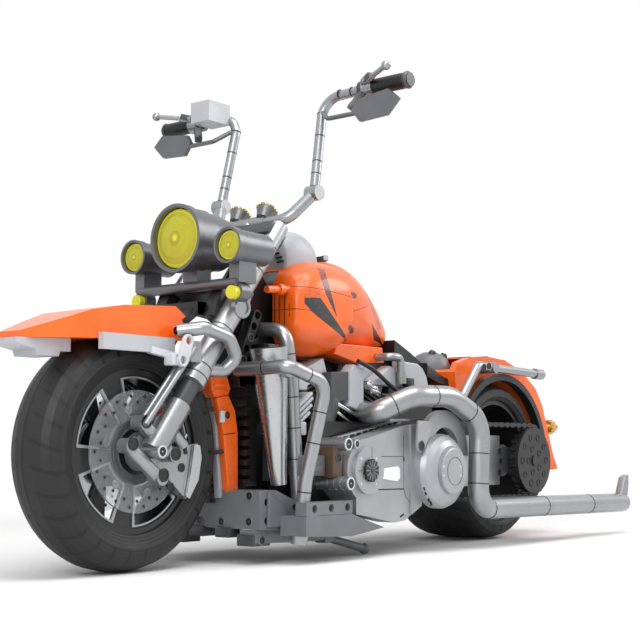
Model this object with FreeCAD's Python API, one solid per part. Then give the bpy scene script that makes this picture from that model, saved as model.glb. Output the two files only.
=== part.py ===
import FreeCAD, Part
import math
import os

# Brick-built model of a chopper motorcycle, in millimetres.
# X points forward, Y to the rider's left and Z up from the floor. X is drawn from midway between the axles, and
# everything is moved at the end, so that the origin lies under the middle of the whole length.

V = FreeCAD.Vector
UP = V(0, 0, 1)
LEFT = V(0, 1, 0)
FORWARD = V(1, 0, 0)

# Driving dimensions
WHEELBASE = 361.4
FRONT_RADIUS = 67.3
REAR_RADIUS = 59.5
MODULE = 8.0
STUD_HOLE_RADIUS = 2.4
GAP = 0.5
SLIP = 0.1
AXLE_RADIUS = 4.0
BORE_RADIUS = 4.15
OVER_ALL_HEIGHT = 310.0
RAKE = math.radians(37.5)

# Where the axles stand, as (x, z), while the outlines below are drawn. A point beside a wheel keeps its place
# round that wheel when a radius or the wheelbase changes, and points between the wheels share the difference.
REAR_HUB = (-180.7, 59.5)
FRONT_HUB = (180.7, 67.3)
REAR_X = -WHEELBASE / 2
FRONT_X = WHEELBASE / 2
REAR_SCALE = REAR_RADIUS / REAR_HUB[1]
FRONT_SCALE = FRONT_RADIUS / FRONT_HUB[1]
REAR_EDGE = REAR_HUB[0] + REAR_HUB[1]
FRONT_EDGE = FRONT_HUB[0] - FRONT_HUB[1]


def placed(x, y, z):
    """Brings a drawn point to its place between the wheels."""
    share = min(max((x - REAR_EDGE) / (FRONT_EDGE - REAR_EDGE), 0), 1)
    if x < REAR_EDGE:
        ahead = REAR_X + (x - REAR_HUB[0]) * REAR_SCALE
    elif x > FRONT_EDGE:
        ahead = FRONT_X + (x - FRONT_HUB[0]) * FRONT_SCALE
    else:
        ahead = (REAR_X + REAR_RADIUS) * (1 - share) + (FRONT_X - FRONT_RADIUS) * share
    return V(ahead, y, z * (REAR_SCALE * (1 - share) + FRONT_SCALE * share))


def point(place):
    """A vector is already in its place, and a tuple is a drawn point."""
    return place if isinstance(place, V) else placed(*place)


def centre_of(place):
    return place if isinstance(place, V) else placed(place[0], 0, place[1])


# Helpers


def polygon(points):
    return Part.Face(Part.makePolygon(points + points[:1]))


def side_prism(outline, y_low, y_high):
    """Extrudes a drawn X-Z outline from y_low to y_high."""
    return polygon([placed(x, y_low, z) for x, z in outline]).extrude(LEFT * (y_high - y_low))


def plan_prism(outline):
    """Extrudes a drawn X-Y outline from the floor to over the top."""
    return polygon([placed(x, y, 0) for x, y in outline]).extrude(UP * OVER_ALL_HEIGHT)


def front_prism(outline, x_low, x_high):
    """Extrudes a drawn Y-Z outline from x_low to x_high."""
    length = placed(x_high, 0, 0).x - placed(x_low, 0, 0).x
    return polygon([placed(x_low, y, z) for y, z in outline]).extrude(FORWARD * length)


def block(low, high):
    low, high = point(low), point(high)
    return Part.makeBox(high.x - low.x, high.y - low.y, high.z - low.z, low)


def rod(start, end, radius):
    start, end = point(start), point(end)
    return Part.makeCylinder(radius, (end - start).Length, start, end - start)


def taper(start, end, start_radius, end_radius):
    start, end = point(start), point(end)
    return Part.makeCone(start_radius, end_radius, (end - start).Length, start, end - start)


def bent_tube(corners, radius, bends):
    """A round tube of straight runs joined by arcs, each arc no larger than its runs leave room for."""
    points = [point(corner) for corner in corners]
    runs = [after - before for before, after in zip(points, points[1:])]
    halves = [before.getAngle(after) / 2 for before, after in zip(runs, runs[1:])]
    setbacks = [0] + [bend * math.tan(half) for bend, half in zip(bends, halves)] + [0]
    fits = [min(1, (run.Length - GAP) / max(first + second, GAP))
            for run, first, second in zip(runs, setbacks, setbacks[1:])]
    edges = []
    start = points[0]
    for index, corner in enumerate(points[1:-1]):
        incoming, outgoing = V(runs[index]).normalize(), V(runs[index + 1]).normalize()
        setback = setbacks[index + 1] * min(fits[index], fits[index + 1])
        bend = setback / math.tan(halves[index])
        inward = (outgoing - incoming).normalize()
        middle = corner + inward * (bend / math.cos(halves[index]) - bend)
        edges.append(Part.makeLine(start, corner - incoming * setback))
        start = corner + outgoing * setback
        edges.append(Part.Arc(corner - incoming * setback, middle, start).toShape())
    edges.append(Part.makeLine(start, points[-1]))
    section = Part.Wire(Part.makeCircle(radius, points[0], runs[0]))
    return Part.Wire(edges).makePipeShell([section], True, True)


def spun(profile, centre, axis=LEFT):
    """Revolves a profile of (radius, offset along the axis) pairs about an axis through centre."""
    centre = centre_of(centre) if len(centre) == 2 else point(centre)
    across = UP if abs(axis.dot(UP)) < 1 else FORWARD
    points = [centre + across * radius + axis * offset for radius, offset in profile]
    return polygon(points).revolve(centre, axis, 360)


def drum(centre, y_low, y_high, radius):
    start = centre_of(centre)
    return Part.makeCylinder(radius, y_high - y_low, V(start.x, y_low, start.z), LEFT)


def ring(centre, y_low, y_high, inner, outer):
    return drum(centre, y_low, y_high, outer).cut(drum(centre, y_low, y_high, inner))


FAN_STEPS = 6


def sector(centre, y_low, y_high, reach, start_angle, end_angle):
    """A wedge of a disc, with angles in degrees from +X towards +Z."""
    middle = centre_of(centre)
    corners = [V(middle.x, y_low, middle.z)]
    for step in range(FAN_STEPS + 1):
        angle = math.radians(start_angle + (end_angle - start_angle) * step / FAN_STEPS)
        corners.append(corners[0] + FORWARD * (reach * math.cos(angle)) + UP * (reach * math.sin(angle)))
    return polygon(corners).extrude(LEFT * (y_high - y_low))


def arch(centre, y_low, y_high, inner, outer, start_angle, end_angle):
    whole = ring(centre, y_low, y_high, inner, outer)
    return whole.common(sector(centre, y_low, y_high, 2 * outer, start_angle, end_angle))


def mirrored(shape):
    return shape.mirror(V(0, 0, 0), LEFT)


def both(shape):
    return [shape, mirrored(shape)]


def fused(shapes):
    whole = shapes[0].fuse(shapes[1:]) if len(shapes) > 1 else shapes[0]
    return whole.removeSplitter()


def largest(shape):
    return max(shape.Solids, key=lambda solid: solid.Volume)


def holes_across(positions, y_low, y_high):
    return [drum(position, y_low, y_high, STUD_HOLE_RADIUS) for position in positions]


PARTS = {}


def piece(name, *shapes):
    solids = [solid for shape in shapes for solid in shape.Solids]
    PARTS[name] = solids[0] if len(solids) == 1 else Part.makeCompound(solids)


# Directions of the fork: up its legs, and forward square to them. Its legs run from the axle to the drawn head.
DRAWN_LEG = 170.0
FRONT_AXLE = placed(FRONT_HUB[0], 0, FRONT_HUB[1])
HEAD_POINT = placed(FRONT_HUB[0] - DRAWN_LEG * math.sin(RAKE), 0, FRONT_HUB[1] + DRAWN_LEG * math.cos(RAKE))
LEG_UP = (HEAD_POINT - FRONT_AXLE).normalize()
LEG_FORWARD = V(LEG_UP.z, 0, -LEG_UP.x)
LEG_STRETCH = FRONT_AXLE.distanceToPoint(HEAD_POINT) / DRAWN_LEG


def on_fork(forward, y, along):
    return FRONT_AXLE + LEG_FORWARD * forward + LEFT * y + LEG_UP * (along * LEG_STRETCH)


# Wheels
TYRE_ROUND_STEPS = 5


def tyre_profile(radius, half_width, widest, bead, bead_half_width, power):
    """Crown and sidewall as a superellipse, closed by the bead."""
    points = [(bead, -bead_half_width)]
    for step in range(-TYRE_ROUND_STEPS, TYRE_ROUND_STEPS + 1):
        angle = math.pi / 2 * step / TYRE_ROUND_STEPS
        y = half_width * math.copysign(abs(math.sin(angle)) ** (2 / power), angle)
        rise = math.cos(angle) ** (2 / power)
        points.append((widest + (radius - widest) * rise, y))
    return points + [(bead, bead_half_width)]


FRONT_TYRE_HALF = 18.5
FRONT_WALL = 20.8
FRONT_CROWN = 13.3
FRONT_BEAD = FRONT_RADIUS - FRONT_WALL
FRONT_BEAD_HALF = 15.0
FRONT_POWER = 2.4
piece("front_tyre", spun(tyre_profile(FRONT_RADIUS, FRONT_TYRE_HALF, FRONT_RADIUS - FRONT_CROWN, FRONT_BEAD,
                                      FRONT_BEAD_HALF, FRONT_POWER), FRONT_HUB))

RIM_THICKNESS = 3.4
RIM_OUTER = FRONT_BEAD - SLIP
RIM_INNER = RIM_OUTER - RIM_THICKNESS
RIM_HALF = 13.5
WEB_OUTSIDE = 12.5
WEB_INSIDE = 9.5
HUB_RADIUS = 13.0
HUB_HALF = 14.2
WINDOW_COUNT = 5
WINDOW_FIRST_ANGLE = 29.0
WINDOW_HALF_ANGLE = 26.0
WINDOW_INNER = 20.0
WINDOW_OUTER = RIM_INNER - 2 * GAP
WINDOW_ANGLES = [WINDOW_FIRST_ANGLE + 360 * index / WINDOW_COUNT for index in range(WINDOW_COUNT)]
BORE = drum(FRONT_HUB, -HUB_HALF, HUB_HALF, BORE_RADIUS)
rim = [ring(FRONT_HUB, -RIM_HALF, RIM_HALF, RIM_INNER, RIM_OUTER), drum(FRONT_HUB, -HUB_HALF, HUB_HALF, HUB_RADIUS)]
rim += both(ring(FRONT_HUB, WEB_INSIDE, WEB_OUTSIDE, HUB_RADIUS, RIM_INNER + GAP))
windows = [arch(FRONT_HUB, -WEB_OUTSIDE, WEB_OUTSIDE, WINDOW_INNER, WINDOW_OUTER, middle - WINDOW_HALF_ANGLE,
                middle + WINDOW_HALF_ANGLE) for middle in WINDOW_ANGLES]
piece("front_rim", fused(rim).cut(windows + [BORE]))

# Bright edging round each window, proud of the spokes.
EDGING_WIDTH = 1.0
EDGING_HALF_ANGLE = 23.5
EDGING_OUTSIDE = 13.3
edging = []
for middle in WINDOW_ANGLES:
    frame = arch(FRONT_HUB, WEB_OUTSIDE, EDGING_OUTSIDE, WINDOW_INNER - EDGING_WIDTH, WINDOW_OUTER,
                 middle - WINDOW_HALF_ANGLE, middle + WINDOW_HALF_ANGLE)
    inside = arch(FRONT_HUB, WEB_OUTSIDE, EDGING_OUTSIDE, WINDOW_INNER, WINDOW_OUTER - EDGING_WIDTH,
                  middle - EDGING_HALF_ANGLE, middle + EDGING_HALF_ANGLE)
    edging += both(frame.cut(inside))
piece("rim_frames", *edging)

DISC_INNER = 17.5
DISC_OUTER = 34.3
DISC_INSIDE = 14.4
DISC_OUTSIDE = 16.0
DISC_STUDS = 6
DISC_STUD_FIRST_ANGLE = 12.0
DISC_STUD_AT = 24.0
DISC_STUD_RADIUS = 2.6
DISC_CARRIER = 18.5
disc = [ring(FRONT_HUB, DISC_INSIDE, DISC_OUTSIDE, DISC_INNER, DISC_OUTER),
        ring(FRONT_HUB, WEB_OUTSIDE, DISC_INSIDE + GAP, HUB_RADIUS, DISC_CARRIER)]
for index in range(DISC_STUDS):
    angle = math.radians(DISC_STUD_FIRST_ANGLE + 360 * index / DISC_STUDS)
    stud_at = FRONT_AXLE + FORWARD * (DISC_STUD_AT * math.cos(angle)) + UP * (DISC_STUD_AT * math.sin(angle))
    disc.append(drum(stud_at, DISC_INSIDE, DISC_OUTSIDE + GAP, DISC_STUD_RADIUS))
piece("front_disc", *both(fused(disc)))

REAR_TYRE_HALF = 33.0
REAR_WALL = 13.5
REAR_CROWN = 10.5
REAR_BEAD = REAR_RADIUS - REAR_WALL
REAR_BEAD_HALF = 30.0
REAR_POWER = 3.4
piece("rear_tyre", spun(tyre_profile(REAR_RADIUS, REAR_TYRE_HALF, REAR_RADIUS - REAR_CROWN, REAR_BEAD,
                                     REAR_BEAD_HALF, REAR_POWER), REAR_HUB))

REAR_RIM_INNER = REAR_BEAD - RIM_THICKNESS
REAR_RIM_HALF = 28.5
REAR_WEB_HALF = 5.0
REAR_HUB_RADIUS = 12.0
REAR_HUB_HALF = 35.0
REAR_AXLE_Y = (-52.0, 64.0)
piece("rear_rim", fused([
    ring(REAR_HUB, -REAR_RIM_HALF, REAR_RIM_HALF, REAR_RIM_INNER, REAR_BEAD - SLIP),
    drum(REAR_HUB, -REAR_WEB_HALF, REAR_WEB_HALF, REAR_RIM_INNER + GAP),
    drum(REAR_HUB, -REAR_HUB_HALF, REAR_HUB_HALF, REAR_HUB_RADIUS),
    drum(REAR_HUB, *REAR_AXLE_Y, AXLE_RADIUS)]))

# Sprocket, its cover and the chain. The chain is a closed band of flat-sided links, one to each tooth gap's width.
CHAIN_Y = (54.5, 59.5)
CHAIN_MIDDLE = 26.3
CHAIN_BAND_HALF = 0.9
CHAIN_FRONT = (-66.0, 59.5)
LINK_COUNT = 48
LINK_HALF_LENGTH = 3.5
LINK_WAIST = 2.2
LINK_HALF_HEIGHT = 1.7
SPROCKET_RADIUS = 23.6
SPROCKET_TEETH = 24
TOOTH_CUT_RADIUS = 1.6
SPROCKET_COVER_RADIUS = 24.4
SPROCKET_COVER_Y = (60.2, 63.0)
REAR_AXLE = centre_of(REAR_HUB)
CHAIN_LEAD = V(placed(CHAIN_FRONT[0], 0, 0).x, 0, REAR_AXLE.z)


def round_axle(centre, radius, angle):
    return centre + FORWARD * (radius * math.cos(angle)) + UP * (radius * math.sin(angle))


tooth_cuts = [drum(round_axle(REAR_AXLE, SPROCKET_RADIUS, 2 * math.pi * index / SPROCKET_TEETH), *CHAIN_Y,
                   TOOTH_CUT_RADIUS) for index in range(SPROCKET_TEETH)]
sprocket = drum(REAR_HUB, *CHAIN_Y, SPROCKET_RADIUS).cut(tooth_cuts)
sprocket = sprocket.fuse([drum(REAR_HUB, CHAIN_Y[1], SPROCKET_COVER_Y[1], SPROCKET_RADIUS - 2 * GAP),
                          drum(REAR_HUB, *SPROCKET_COVER_Y, SPROCKET_COVER_RADIUS)])
piece("sprocket", sprocket.cut(drum(REAR_HUB, CHAIN_Y[0], SPROCKET_COVER_Y[1], AXLE_RADIUS)).removeSplitter())


def stadium(radius):
    """The area inside a loop round both chain centres."""
    low = V(REAR_AXLE.x, CHAIN_Y[0], REAR_AXLE.z - radius)
    high = V(CHAIN_LEAD.x, CHAIN_Y[1], REAR_AXLE.z + radius)
    return fused([drum(REAR_AXLE, *CHAIN_Y, radius), drum(CHAIN_LEAD, *CHAIN_Y, radius), block(low, high)])


def chain_place(share):
    """Place and heading at a share of the way round the chain's middle line."""
    run = CHAIN_LEAD.x - REAR_AXLE.x
    turn = math.pi * CHAIN_MIDDLE
    distance = share * 2 * (run + turn)
    if distance < run:
        return REAR_AXLE + FORWARD * distance + UP * CHAIN_MIDDLE, 0
    if distance < run + turn:
        angle = (distance - run) / CHAIN_MIDDLE
        return round_axle(CHAIN_LEAD, CHAIN_MIDDLE, math.pi / 2 - angle), -angle
    if distance < 2 * run + turn:
        return CHAIN_LEAD - FORWARD * (distance - run - turn) - UP * CHAIN_MIDDLE, math.pi
    angle = (distance - 2 * run - turn) / CHAIN_MIDDLE
    return round_axle(REAR_AXLE, CHAIN_MIDDLE, -math.pi / 2 - angle), math.pi - angle


LINK = [(-LINK_HALF_LENGTH, 0), (-LINK_WAIST, LINK_HALF_HEIGHT), (LINK_WAIST, LINK_HALF_HEIGHT),
        (LINK_HALF_LENGTH, 0), (LINK_WAIST, -LINK_HALF_HEIGHT), (-LINK_WAIST, -LINK_HALF_HEIGHT)]
links = []
for index in range(LINK_COUNT):
    centre, heading = chain_place(index / LINK_COUNT)
    ahead, aside = round_axle(V(), 1, heading), round_axle(V(), 1, heading + math.pi / 2)
    corners = [centre + ahead * length + aside * height + LEFT * CHAIN_Y[0] for length, height in LINK]
    links.append(polygon(corners).extrude(LEFT * (CHAIN_Y[1] - CHAIN_Y[0])))
band = stadium(CHAIN_MIDDLE + CHAIN_BAND_HALF).cut(stadium(CHAIN_MIDDLE - CHAIN_BAND_HALF))
piece("chain", fused([band] + links))

# Fork
LEG_Y = 28.0
STEM_BACK = -12.0
STEM_RADIUS = 4.0
TUBE_THIN = 5.2
TUBE_THICK = 6.5
TUBE_STEP_AT = 106.0
TUBE_TOP = 176.5
COLLAR_RADIUS = 7.4
COLLAR = (56.0, 78.0)
SLIDER_RADIUS = 5.8
CAP_RADIUS = 7.4
CAP = (9.0, 33.0)
TOP_YOKE = (166.0, 174.0)
LOWER_YOKE = (116.0, 125.0)
YOKE_REACH_Y = 35.0
YOKE_FRONT = 8.5
YOKE_BACK = -20.0
YOKE_WAIST_Y = 14.0


def leg_part(low, high, radius):
    return rod(on_fork(0, LEG_Y, low), on_fork(0, LEG_Y, high), radius)


def fork_plate(outline, low, high):
    """Extrudes a (forward, y) outline along the legs."""
    return polygon([on_fork(forward, y, low) for forward, y in outline]).extrude(LEG_UP * (high - low))


YOKE_OUTLINE = [(YOKE_FRONT, -YOKE_REACH_Y), (YOKE_FRONT, YOKE_REACH_Y), (-YOKE_FRONT, YOKE_REACH_Y),
                (YOKE_BACK, YOKE_WAIST_Y), (YOKE_BACK, -YOKE_WAIST_Y), (-YOKE_FRONT, -YOKE_REACH_Y)]
tube = fused([leg_part(*COLLAR, COLLAR_RADIUS), leg_part(COLLAR[1], TUBE_STEP_AT, TUBE_THICK),
              leg_part(TUBE_STEP_AT, TUBE_TOP, TUBE_THIN)])
stem = rod(on_fork(STEM_BACK, 0, LOWER_YOKE[0]), on_fork(STEM_BACK, 0, TOP_YOKE[1]), STEM_RADIUS)
yokes = [fork_plate(YOKE_OUTLINE, *TOP_YOKE), fork_plate(YOKE_OUTLINE, *LOWER_YOKE)]
piece("fork_tubes", fused(both(tube) + yokes + [stem]))
piece("fork_sliders", *both(leg_part(CAP[1], COLLAR[0], SLIDER_RADIUS)))

# Axle with its clusters of connector tubes, square to the legs, and the calipers behind them.
HUB_CLUSTER_Y = (17.0, 24.0)
HUB_CLUSTER_RADIUS = 11.0
AXLE_END = 36.0
CONNECTOR_ENDS = (-13.5, 15.5)
CONNECTOR_ALONG = MODULE
CONNECTOR_Y = 26.5
CONNECTOR_RADIUS = 4.0
CONNECTOR_END_RADIUS = 4.3
CALIPER_INNER = 10.0
CALIPER_CLEARANCE = 4.2
CALIPER_OUTER = FRONT_BEAD - CALIPER_CLEARANCE
CALIPER_ANGLES = (174.0, 220.0)
CALIPER_Y = (17.0, 22.0)
BRACKET = (-20.0, 20.0)
BRACKET_RADIUS = 3.2
cluster = [drum(FRONT_HUB, -AXLE_END, AXLE_END, AXLE_RADIUS)]
cluster += both(drum(FRONT_HUB, *HUB_CLUSTER_Y, HUB_CLUSTER_RADIUS))
cluster += both(leg_part(0, CAP[1], CAP_RADIUS))
cluster += both(arch(FRONT_HUB, *CALIPER_Y, CALIPER_INNER, CALIPER_OUTER, *CALIPER_ANGLES))
sockets = []
for along in (-CONNECTOR_ALONG, CONNECTOR_ALONG):
    ends = [on_fork(forward, CONNECTOR_Y, along) for forward in CONNECTOR_ENDS]
    cluster += both(rod(*ends, CONNECTOR_RADIUS))
    for end in ends:
        reach = (CONNECTOR_Y - CONNECTOR_RADIUS, CONNECTOR_Y + CONNECTOR_RADIUS)
        cluster += both(drum(end, *reach, CONNECTOR_END_RADIUS))
        sockets += both(drum(end, *reach, STUD_HOLE_RADIUS))
bracket_end = on_fork(BRACKET[0], HUB_CLUSTER_Y[1], BRACKET[1])
cluster += both(rod(on_fork(0, CONNECTOR_Y, BRACKET[1]), bracket_end, BRACKET_RADIUS))
piece("front_axle", fused(cluster).cut(sockets))

STRUT_RADIUS = 1.7
STRUT_Y = (28.0, 33.0)
STRUT_TOP = (153.0, 126.0)
STRUT_FOOT = (191.0, 82.0)
LINK_BLOCK = ((149.0, 27.0, 118.0), (157.0, 34.0, 130.0))
struts = [rod((STRUT_TOP[0], y, STRUT_TOP[1]), (STRUT_FOOT[0], y, STRUT_FOOT[1]), STRUT_RADIUS) for y in STRUT_Y]
strut_pair = fused(struts + [block(*LINK_BLOCK)]).cut([PARTS["fork_tubes"], PARTS["front_axle"]])
piece("fork_struts", *both(largest(strut_pair)))

# Front fender
FENDER_SIDE = [(258, 127), (258, 130.5), (219, 144), (197, 148), (158, 150.5), (146, 143), (144, 131)]
FENDER_HALF_PLAN = [(258, 9), (236, 17), (214, 22), (144, 22)]
FENDER_HALF = 24.0
FENDER_TUNNEL = ((140.0, -19.8, 0.0), (212.0, 19.8, 137.2))


def two_sided(half_outline):
    """Closes an outline that is drawn for the left half only."""
    return half_outline + [(x, -y) for x, y in reversed(half_outline)]


fender = side_prism(FENDER_SIDE, -FENDER_HALF, FENDER_HALF).common(plan_prism(two_sided(FENDER_HALF_PLAN)))
piece("front_fender", fender.cut(block(*FENDER_TUNNEL)))

UNDERPLATE = [(262, 126.7), (258, 126.9), (225, 128), (225, 121), (232, 121), (233, 118), (247, 118), (248, 121),
              (262, 124)]
UNDERPLATE_HALF = 10.0
FENDER_BEAM = ((162.0, 22.1, 122.5), (216.0, 26.0, 131.5))
piece("fender_plate", side_prism(UNDERPLATE, -UNDERPLATE_HALF, UNDERPLATE_HALF), *both(block(*FENDER_BEAM)))

LOOP_PATH = [(170, 29.9, 130), (159, 42, 136), (133, 43, 131), (118, 40, 117), (137, 29.5, 110.4)]
LOOP_BENDS = [9, 14, 9]
LOOP_RADIUS = 3.8
loop = bent_tube(LOOP_PATH, LOOP_RADIUS, LOOP_BENDS).cut([PARTS["fork_tubes"], PARTS["fender_plate"]])
piece("fork_loop", *both(largest(loop)))

# Lamps
LAMP_BAR_AT = (126.0, 166.0)
LAMP_BAR_HALF = 42.0
LAMP_BAR_RADIUS = 3.2
SPOT_AT = (40.0, 187.4)
SPOT_FRONT = 134.5
SPOT_BACK = 103.0
SPOT_STEM = ((113.0, 36.0, 166.0), (128.0, 44.0, 179.0))
HEAD_STEM = ((112.0, -6.0, 166.0), (124.0, 6.0, 178.0))
INDICATOR_Z = 160.4
INDICATOR_X = (119.0, 126.9, 131.0)
INDICATOR_RADII = (5.6, 4.0)
BRACE_Y = 12.0
BRACE_FOOT = 120.0
lamp_bar = [drum(LAMP_BAR_AT, -LAMP_BAR_HALF, LAMP_BAR_HALF, LAMP_BAR_RADIUS), block(*HEAD_STEM)]
lamp_bar += both(block(*SPOT_STEM))
brace_top = (LAMP_BAR_AT[0], BRACE_Y, LAMP_BAR_AT[1])
lamp_bar += both(rod(brace_top, on_fork(YOKE_FRONT + GAP, BRACE_Y, BRACE_FOOT), LAMP_BAR_RADIUS))
stalk = [placed(x, SPOT_AT[0], INDICATOR_Z) for x in INDICATOR_X]
lamp_bar += both(rod(stalk[0], stalk[1], INDICATOR_RADII[0]))
# Lamp profiles are (radius, distance ahead of the lamp's back).
HEAD_BACK = (88.0, 0.0, 195.0)
HEAD_PROFILE = [(0, 0), (12.5, 0), (13.5, 11), (16.5, 11), (16.5, 20), (18.3, 20), (18.3, 31), (19.6, 31),
                (19.6, 43), (20.9, 44.5), (20.9, 49.6), (18.9, 49.6), (18.0, 43.0), (0, 39)]
HEAD_LENS = [(0, 39.1), (17.6, 43.0), (17.9, 46.5), (12, 48.6), (0, 49.8)]
SPOT_PROFILE = [(0, 0), (9.8, 0), (10.0, 25), (10.8, 26), (10.8, 31.5), (9.4, 31.5), (8.8, 27.5), (0, 26)]
SPOT_LENS = [(0, 26.1), (8.5, 27.55), (8.5, 29.4), (0, 30.6)]
spot_back = (SPOT_BACK, *SPOT_AT)
head_shell = spun(HEAD_PROFILE, HEAD_BACK, FORWARD)
spot_shells = both(spun(SPOT_PROFILE, spot_back, FORWARD))
lamp_bar = fused(lamp_bar).cut([PARTS["fork_tubes"], head_shell] + spot_shells)
piece("lamp_bar", lamp_bar)
piece("headlamp_shell", head_shell)
piece("headlamp_lens", spun(HEAD_LENS, HEAD_BACK, FORWARD))
piece("spot_shells", *spot_shells)
indicator = rod(stalk[1] - UP * GAP, stalk[2] - UP * GAP, INDICATOR_RADII[1]).cut(lamp_bar)
piece("lamp_lenses", *(both(spun(SPOT_LENS, spot_back, FORWARD)) + both(indicator)))

# Handlebar
RISER_PATH = [(70, 12, 212), (68, 30, 212.5), (54.2, 40.4, 230)]
RISER_BEND = [12]
RISER_RADIUS = 3.8
BAR_PATH = [(54.2, 40.4, 230), (40.5, 37, 294), (42, 72, 294.7)]
BAR_BEND = [13]
BAR_RADIUS = 3.2
JOINT_AT = (54.2, 230.0)
JOINT_Y = (35.8, 45.0)
JOINT_RADIUS = 5.0
CLAMP_AT = (70.0, 212.0)
CLAMP_HALF = 14.0
CLAMP_RADIUS = 4.4
side_bar = fused([bent_tube(RISER_PATH, RISER_RADIUS, RISER_BEND), bent_tube(BAR_PATH, BAR_RADIUS, BAR_BEND),
                  drum(JOINT_AT, *JOINT_Y, JOINT_RADIUS)])
clamp = drum(CLAMP_AT, -CLAMP_HALF, CLAMP_HALF, CLAMP_RADIUS)
clamp_post = rod(on_fork(0, 0, TOP_YOKE[1] + SLIP), centre_of(CLAMP_AT), CLAMP_RADIUS)
piece("handlebar", fused([clamp, clamp_post] + both(side_bar)))

BAR_END = (41.9, 294.8)
LEVER_HUB_Y = (72.3, 80.0)
LEVER_HUB_RADIUS = 6.0
GRIP_Y = (80.2, 104.0)
GRIP_RADIUS = 5.0
GRIP_CAP_END = 107.0
GRIP_CAP_RADIUS = 4.4
LEVER_ENDS = ((47, 76, 298), (57.9, 99.8, 301.3))
LEVER_RADIUS = 1.6
LEVER_BALL = 3.0
piece("grips", *both(fused([drum(BAR_END, *GRIP_Y, GRIP_RADIUS),
                            drum(BAR_END, GRIP_Y[1], GRIP_CAP_END, GRIP_CAP_RADIUS)])))
piece("levers", *both(fused([drum(BAR_END, *LEVER_HUB_Y, LEVER_HUB_RADIUS), rod(*LEVER_ENDS, LEVER_RADIUS),
                             Part.makeSphere(LEVER_BALL, placed(*LEVER_ENDS[1]))])))

MIRROR_FACE = [(70, 279), (74, 285), (98, 288), (106, 281), (97, 272), (76, 271)]
MIRROR_X = (51.0, 54.0)
MIRROR_ARM = [(44.5, 40, 284), (52.5, 50, 277), (52.5, 74, 277)]
MIRROR_ARM_BEND = [6]
MIRROR_ARM_RADIUS = 1.5
mirror = fused([front_prism(MIRROR_FACE, *MIRROR_X), bent_tube(MIRROR_ARM, MIRROR_ARM_RADIUS, MIRROR_ARM_BEND)])
piece("mirrors", *both(mirror.cut(PARTS["handlebar"])))
RESERVOIR = ((43, -60, 289), (64, -43, 303))
piece("reservoir", block(*RESERVOIR).cut(PARTS["handlebar"]))

# Each gauge is a cup under a toothed ring.
GAUGE_FOOT = (72.5, 11.3, 217.3)
GAUGE_TOP = (65.5, 11.3, 225.5)
GAUGE_RADII = (5.0, 7.4)
piece("gauges", *both(taper(GAUGE_FOOT, GAUGE_TOP, *GAUGE_RADII).cut(PARTS["handlebar"])))

# Frame: a head tube on the steering stem, a backbone under the tank and a cradle round the engine.
HEAD_TUBE = (126.0, 165.0)
HEAD_TUBE_RADIUS = 8.0
HEAD_TUBE_INSET = 4.0
FRAME_HALF = 6.5
BACKBONE_REST = [(40, 150), (-58, 124), (-118, 118), (-122, 108), (-60, 112), (30, 126), (60, 128)]
CRADLE = [(79, 166), (66, 160), (64, 112), (64, 34), (-84, 34), (-92, 60), (-107, 113), (-119, 113), (-104, 56),
          (-90, 22), (74, 22), (76, 112)]


def backbone(half):
    neck = [on_fork(STEM_BACK, -half, HEAD_TUBE[0] + HEAD_TUBE_INSET),
            on_fork(STEM_BACK, -half, HEAD_TUBE[1] - HEAD_TUBE_INSET)]
    corners = neck + [placed(x, -half, z) for x, z in BACKBONE_REST]
    return polygon(corners).extrude(LEFT * 2 * half)


def stem_rod(radius):
    return rod(on_fork(STEM_BACK, 0, HEAD_TUBE[0]), on_fork(STEM_BACK, 0, HEAD_TUBE[1]), radius)


frame = fused([backbone(FRAME_HALF), side_prism(CRADLE, -FRAME_HALF, FRAME_HALF), stem_rod(HEAD_TUBE_RADIUS)])
frame = frame.cut(stem_rod(STEM_RADIUS + SLIP))

# Tank, with a tunnel for the backbone, and the round-topped housing behind the head.
HOUSING_SIDE = [(14, 196), (16, 186), (30, 184), (50, 184), (52, 196), (44, 208), (34, 211), (22, 207)]
HOUSING_HALF = 17.0
TANK_SIDE = [(57, 142), (57, 178), (50, 186), (34, 183.5), (18, 183.5), (10, 186), (0, 195), (-16, 190),
             (-45, 178), (-60, 162), (-62, 150), (-44, 141), (-12, 137), (4, 130), (26, 128), (44, 131)]
TANK_HALF_PLAN = [(57, 27), (48, 36), (20, 38), (-10, 34), (-40, 24), (-62, 15)]
TANK_CENTRE_Z = 160.0
TANK_HALF_WIDTH = 38.0
TANK_HALF_HEIGHT = 37.0
TANK_POWER = 2.6
TANK_STEPS = 24
TANK_ENDS = (-62.0, 57.0)
TUNNEL_HALF = 7.2
TUNNEL = ((-63.0, -7.2, 100.0), (58.0, 7.2, 150.5))


def superellipse(half_width, half_height, centre_z, power, steps):
    points = []
    for step in range(steps):
        angle = 2 * math.pi * step / steps
        across, upward = math.cos(angle), math.sin(angle)
        points.append((half_width * math.copysign(abs(across) ** (2 / power), across),
                       centre_z + half_height * math.copysign(abs(upward) ** (2 / power), upward)))
    return points


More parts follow.
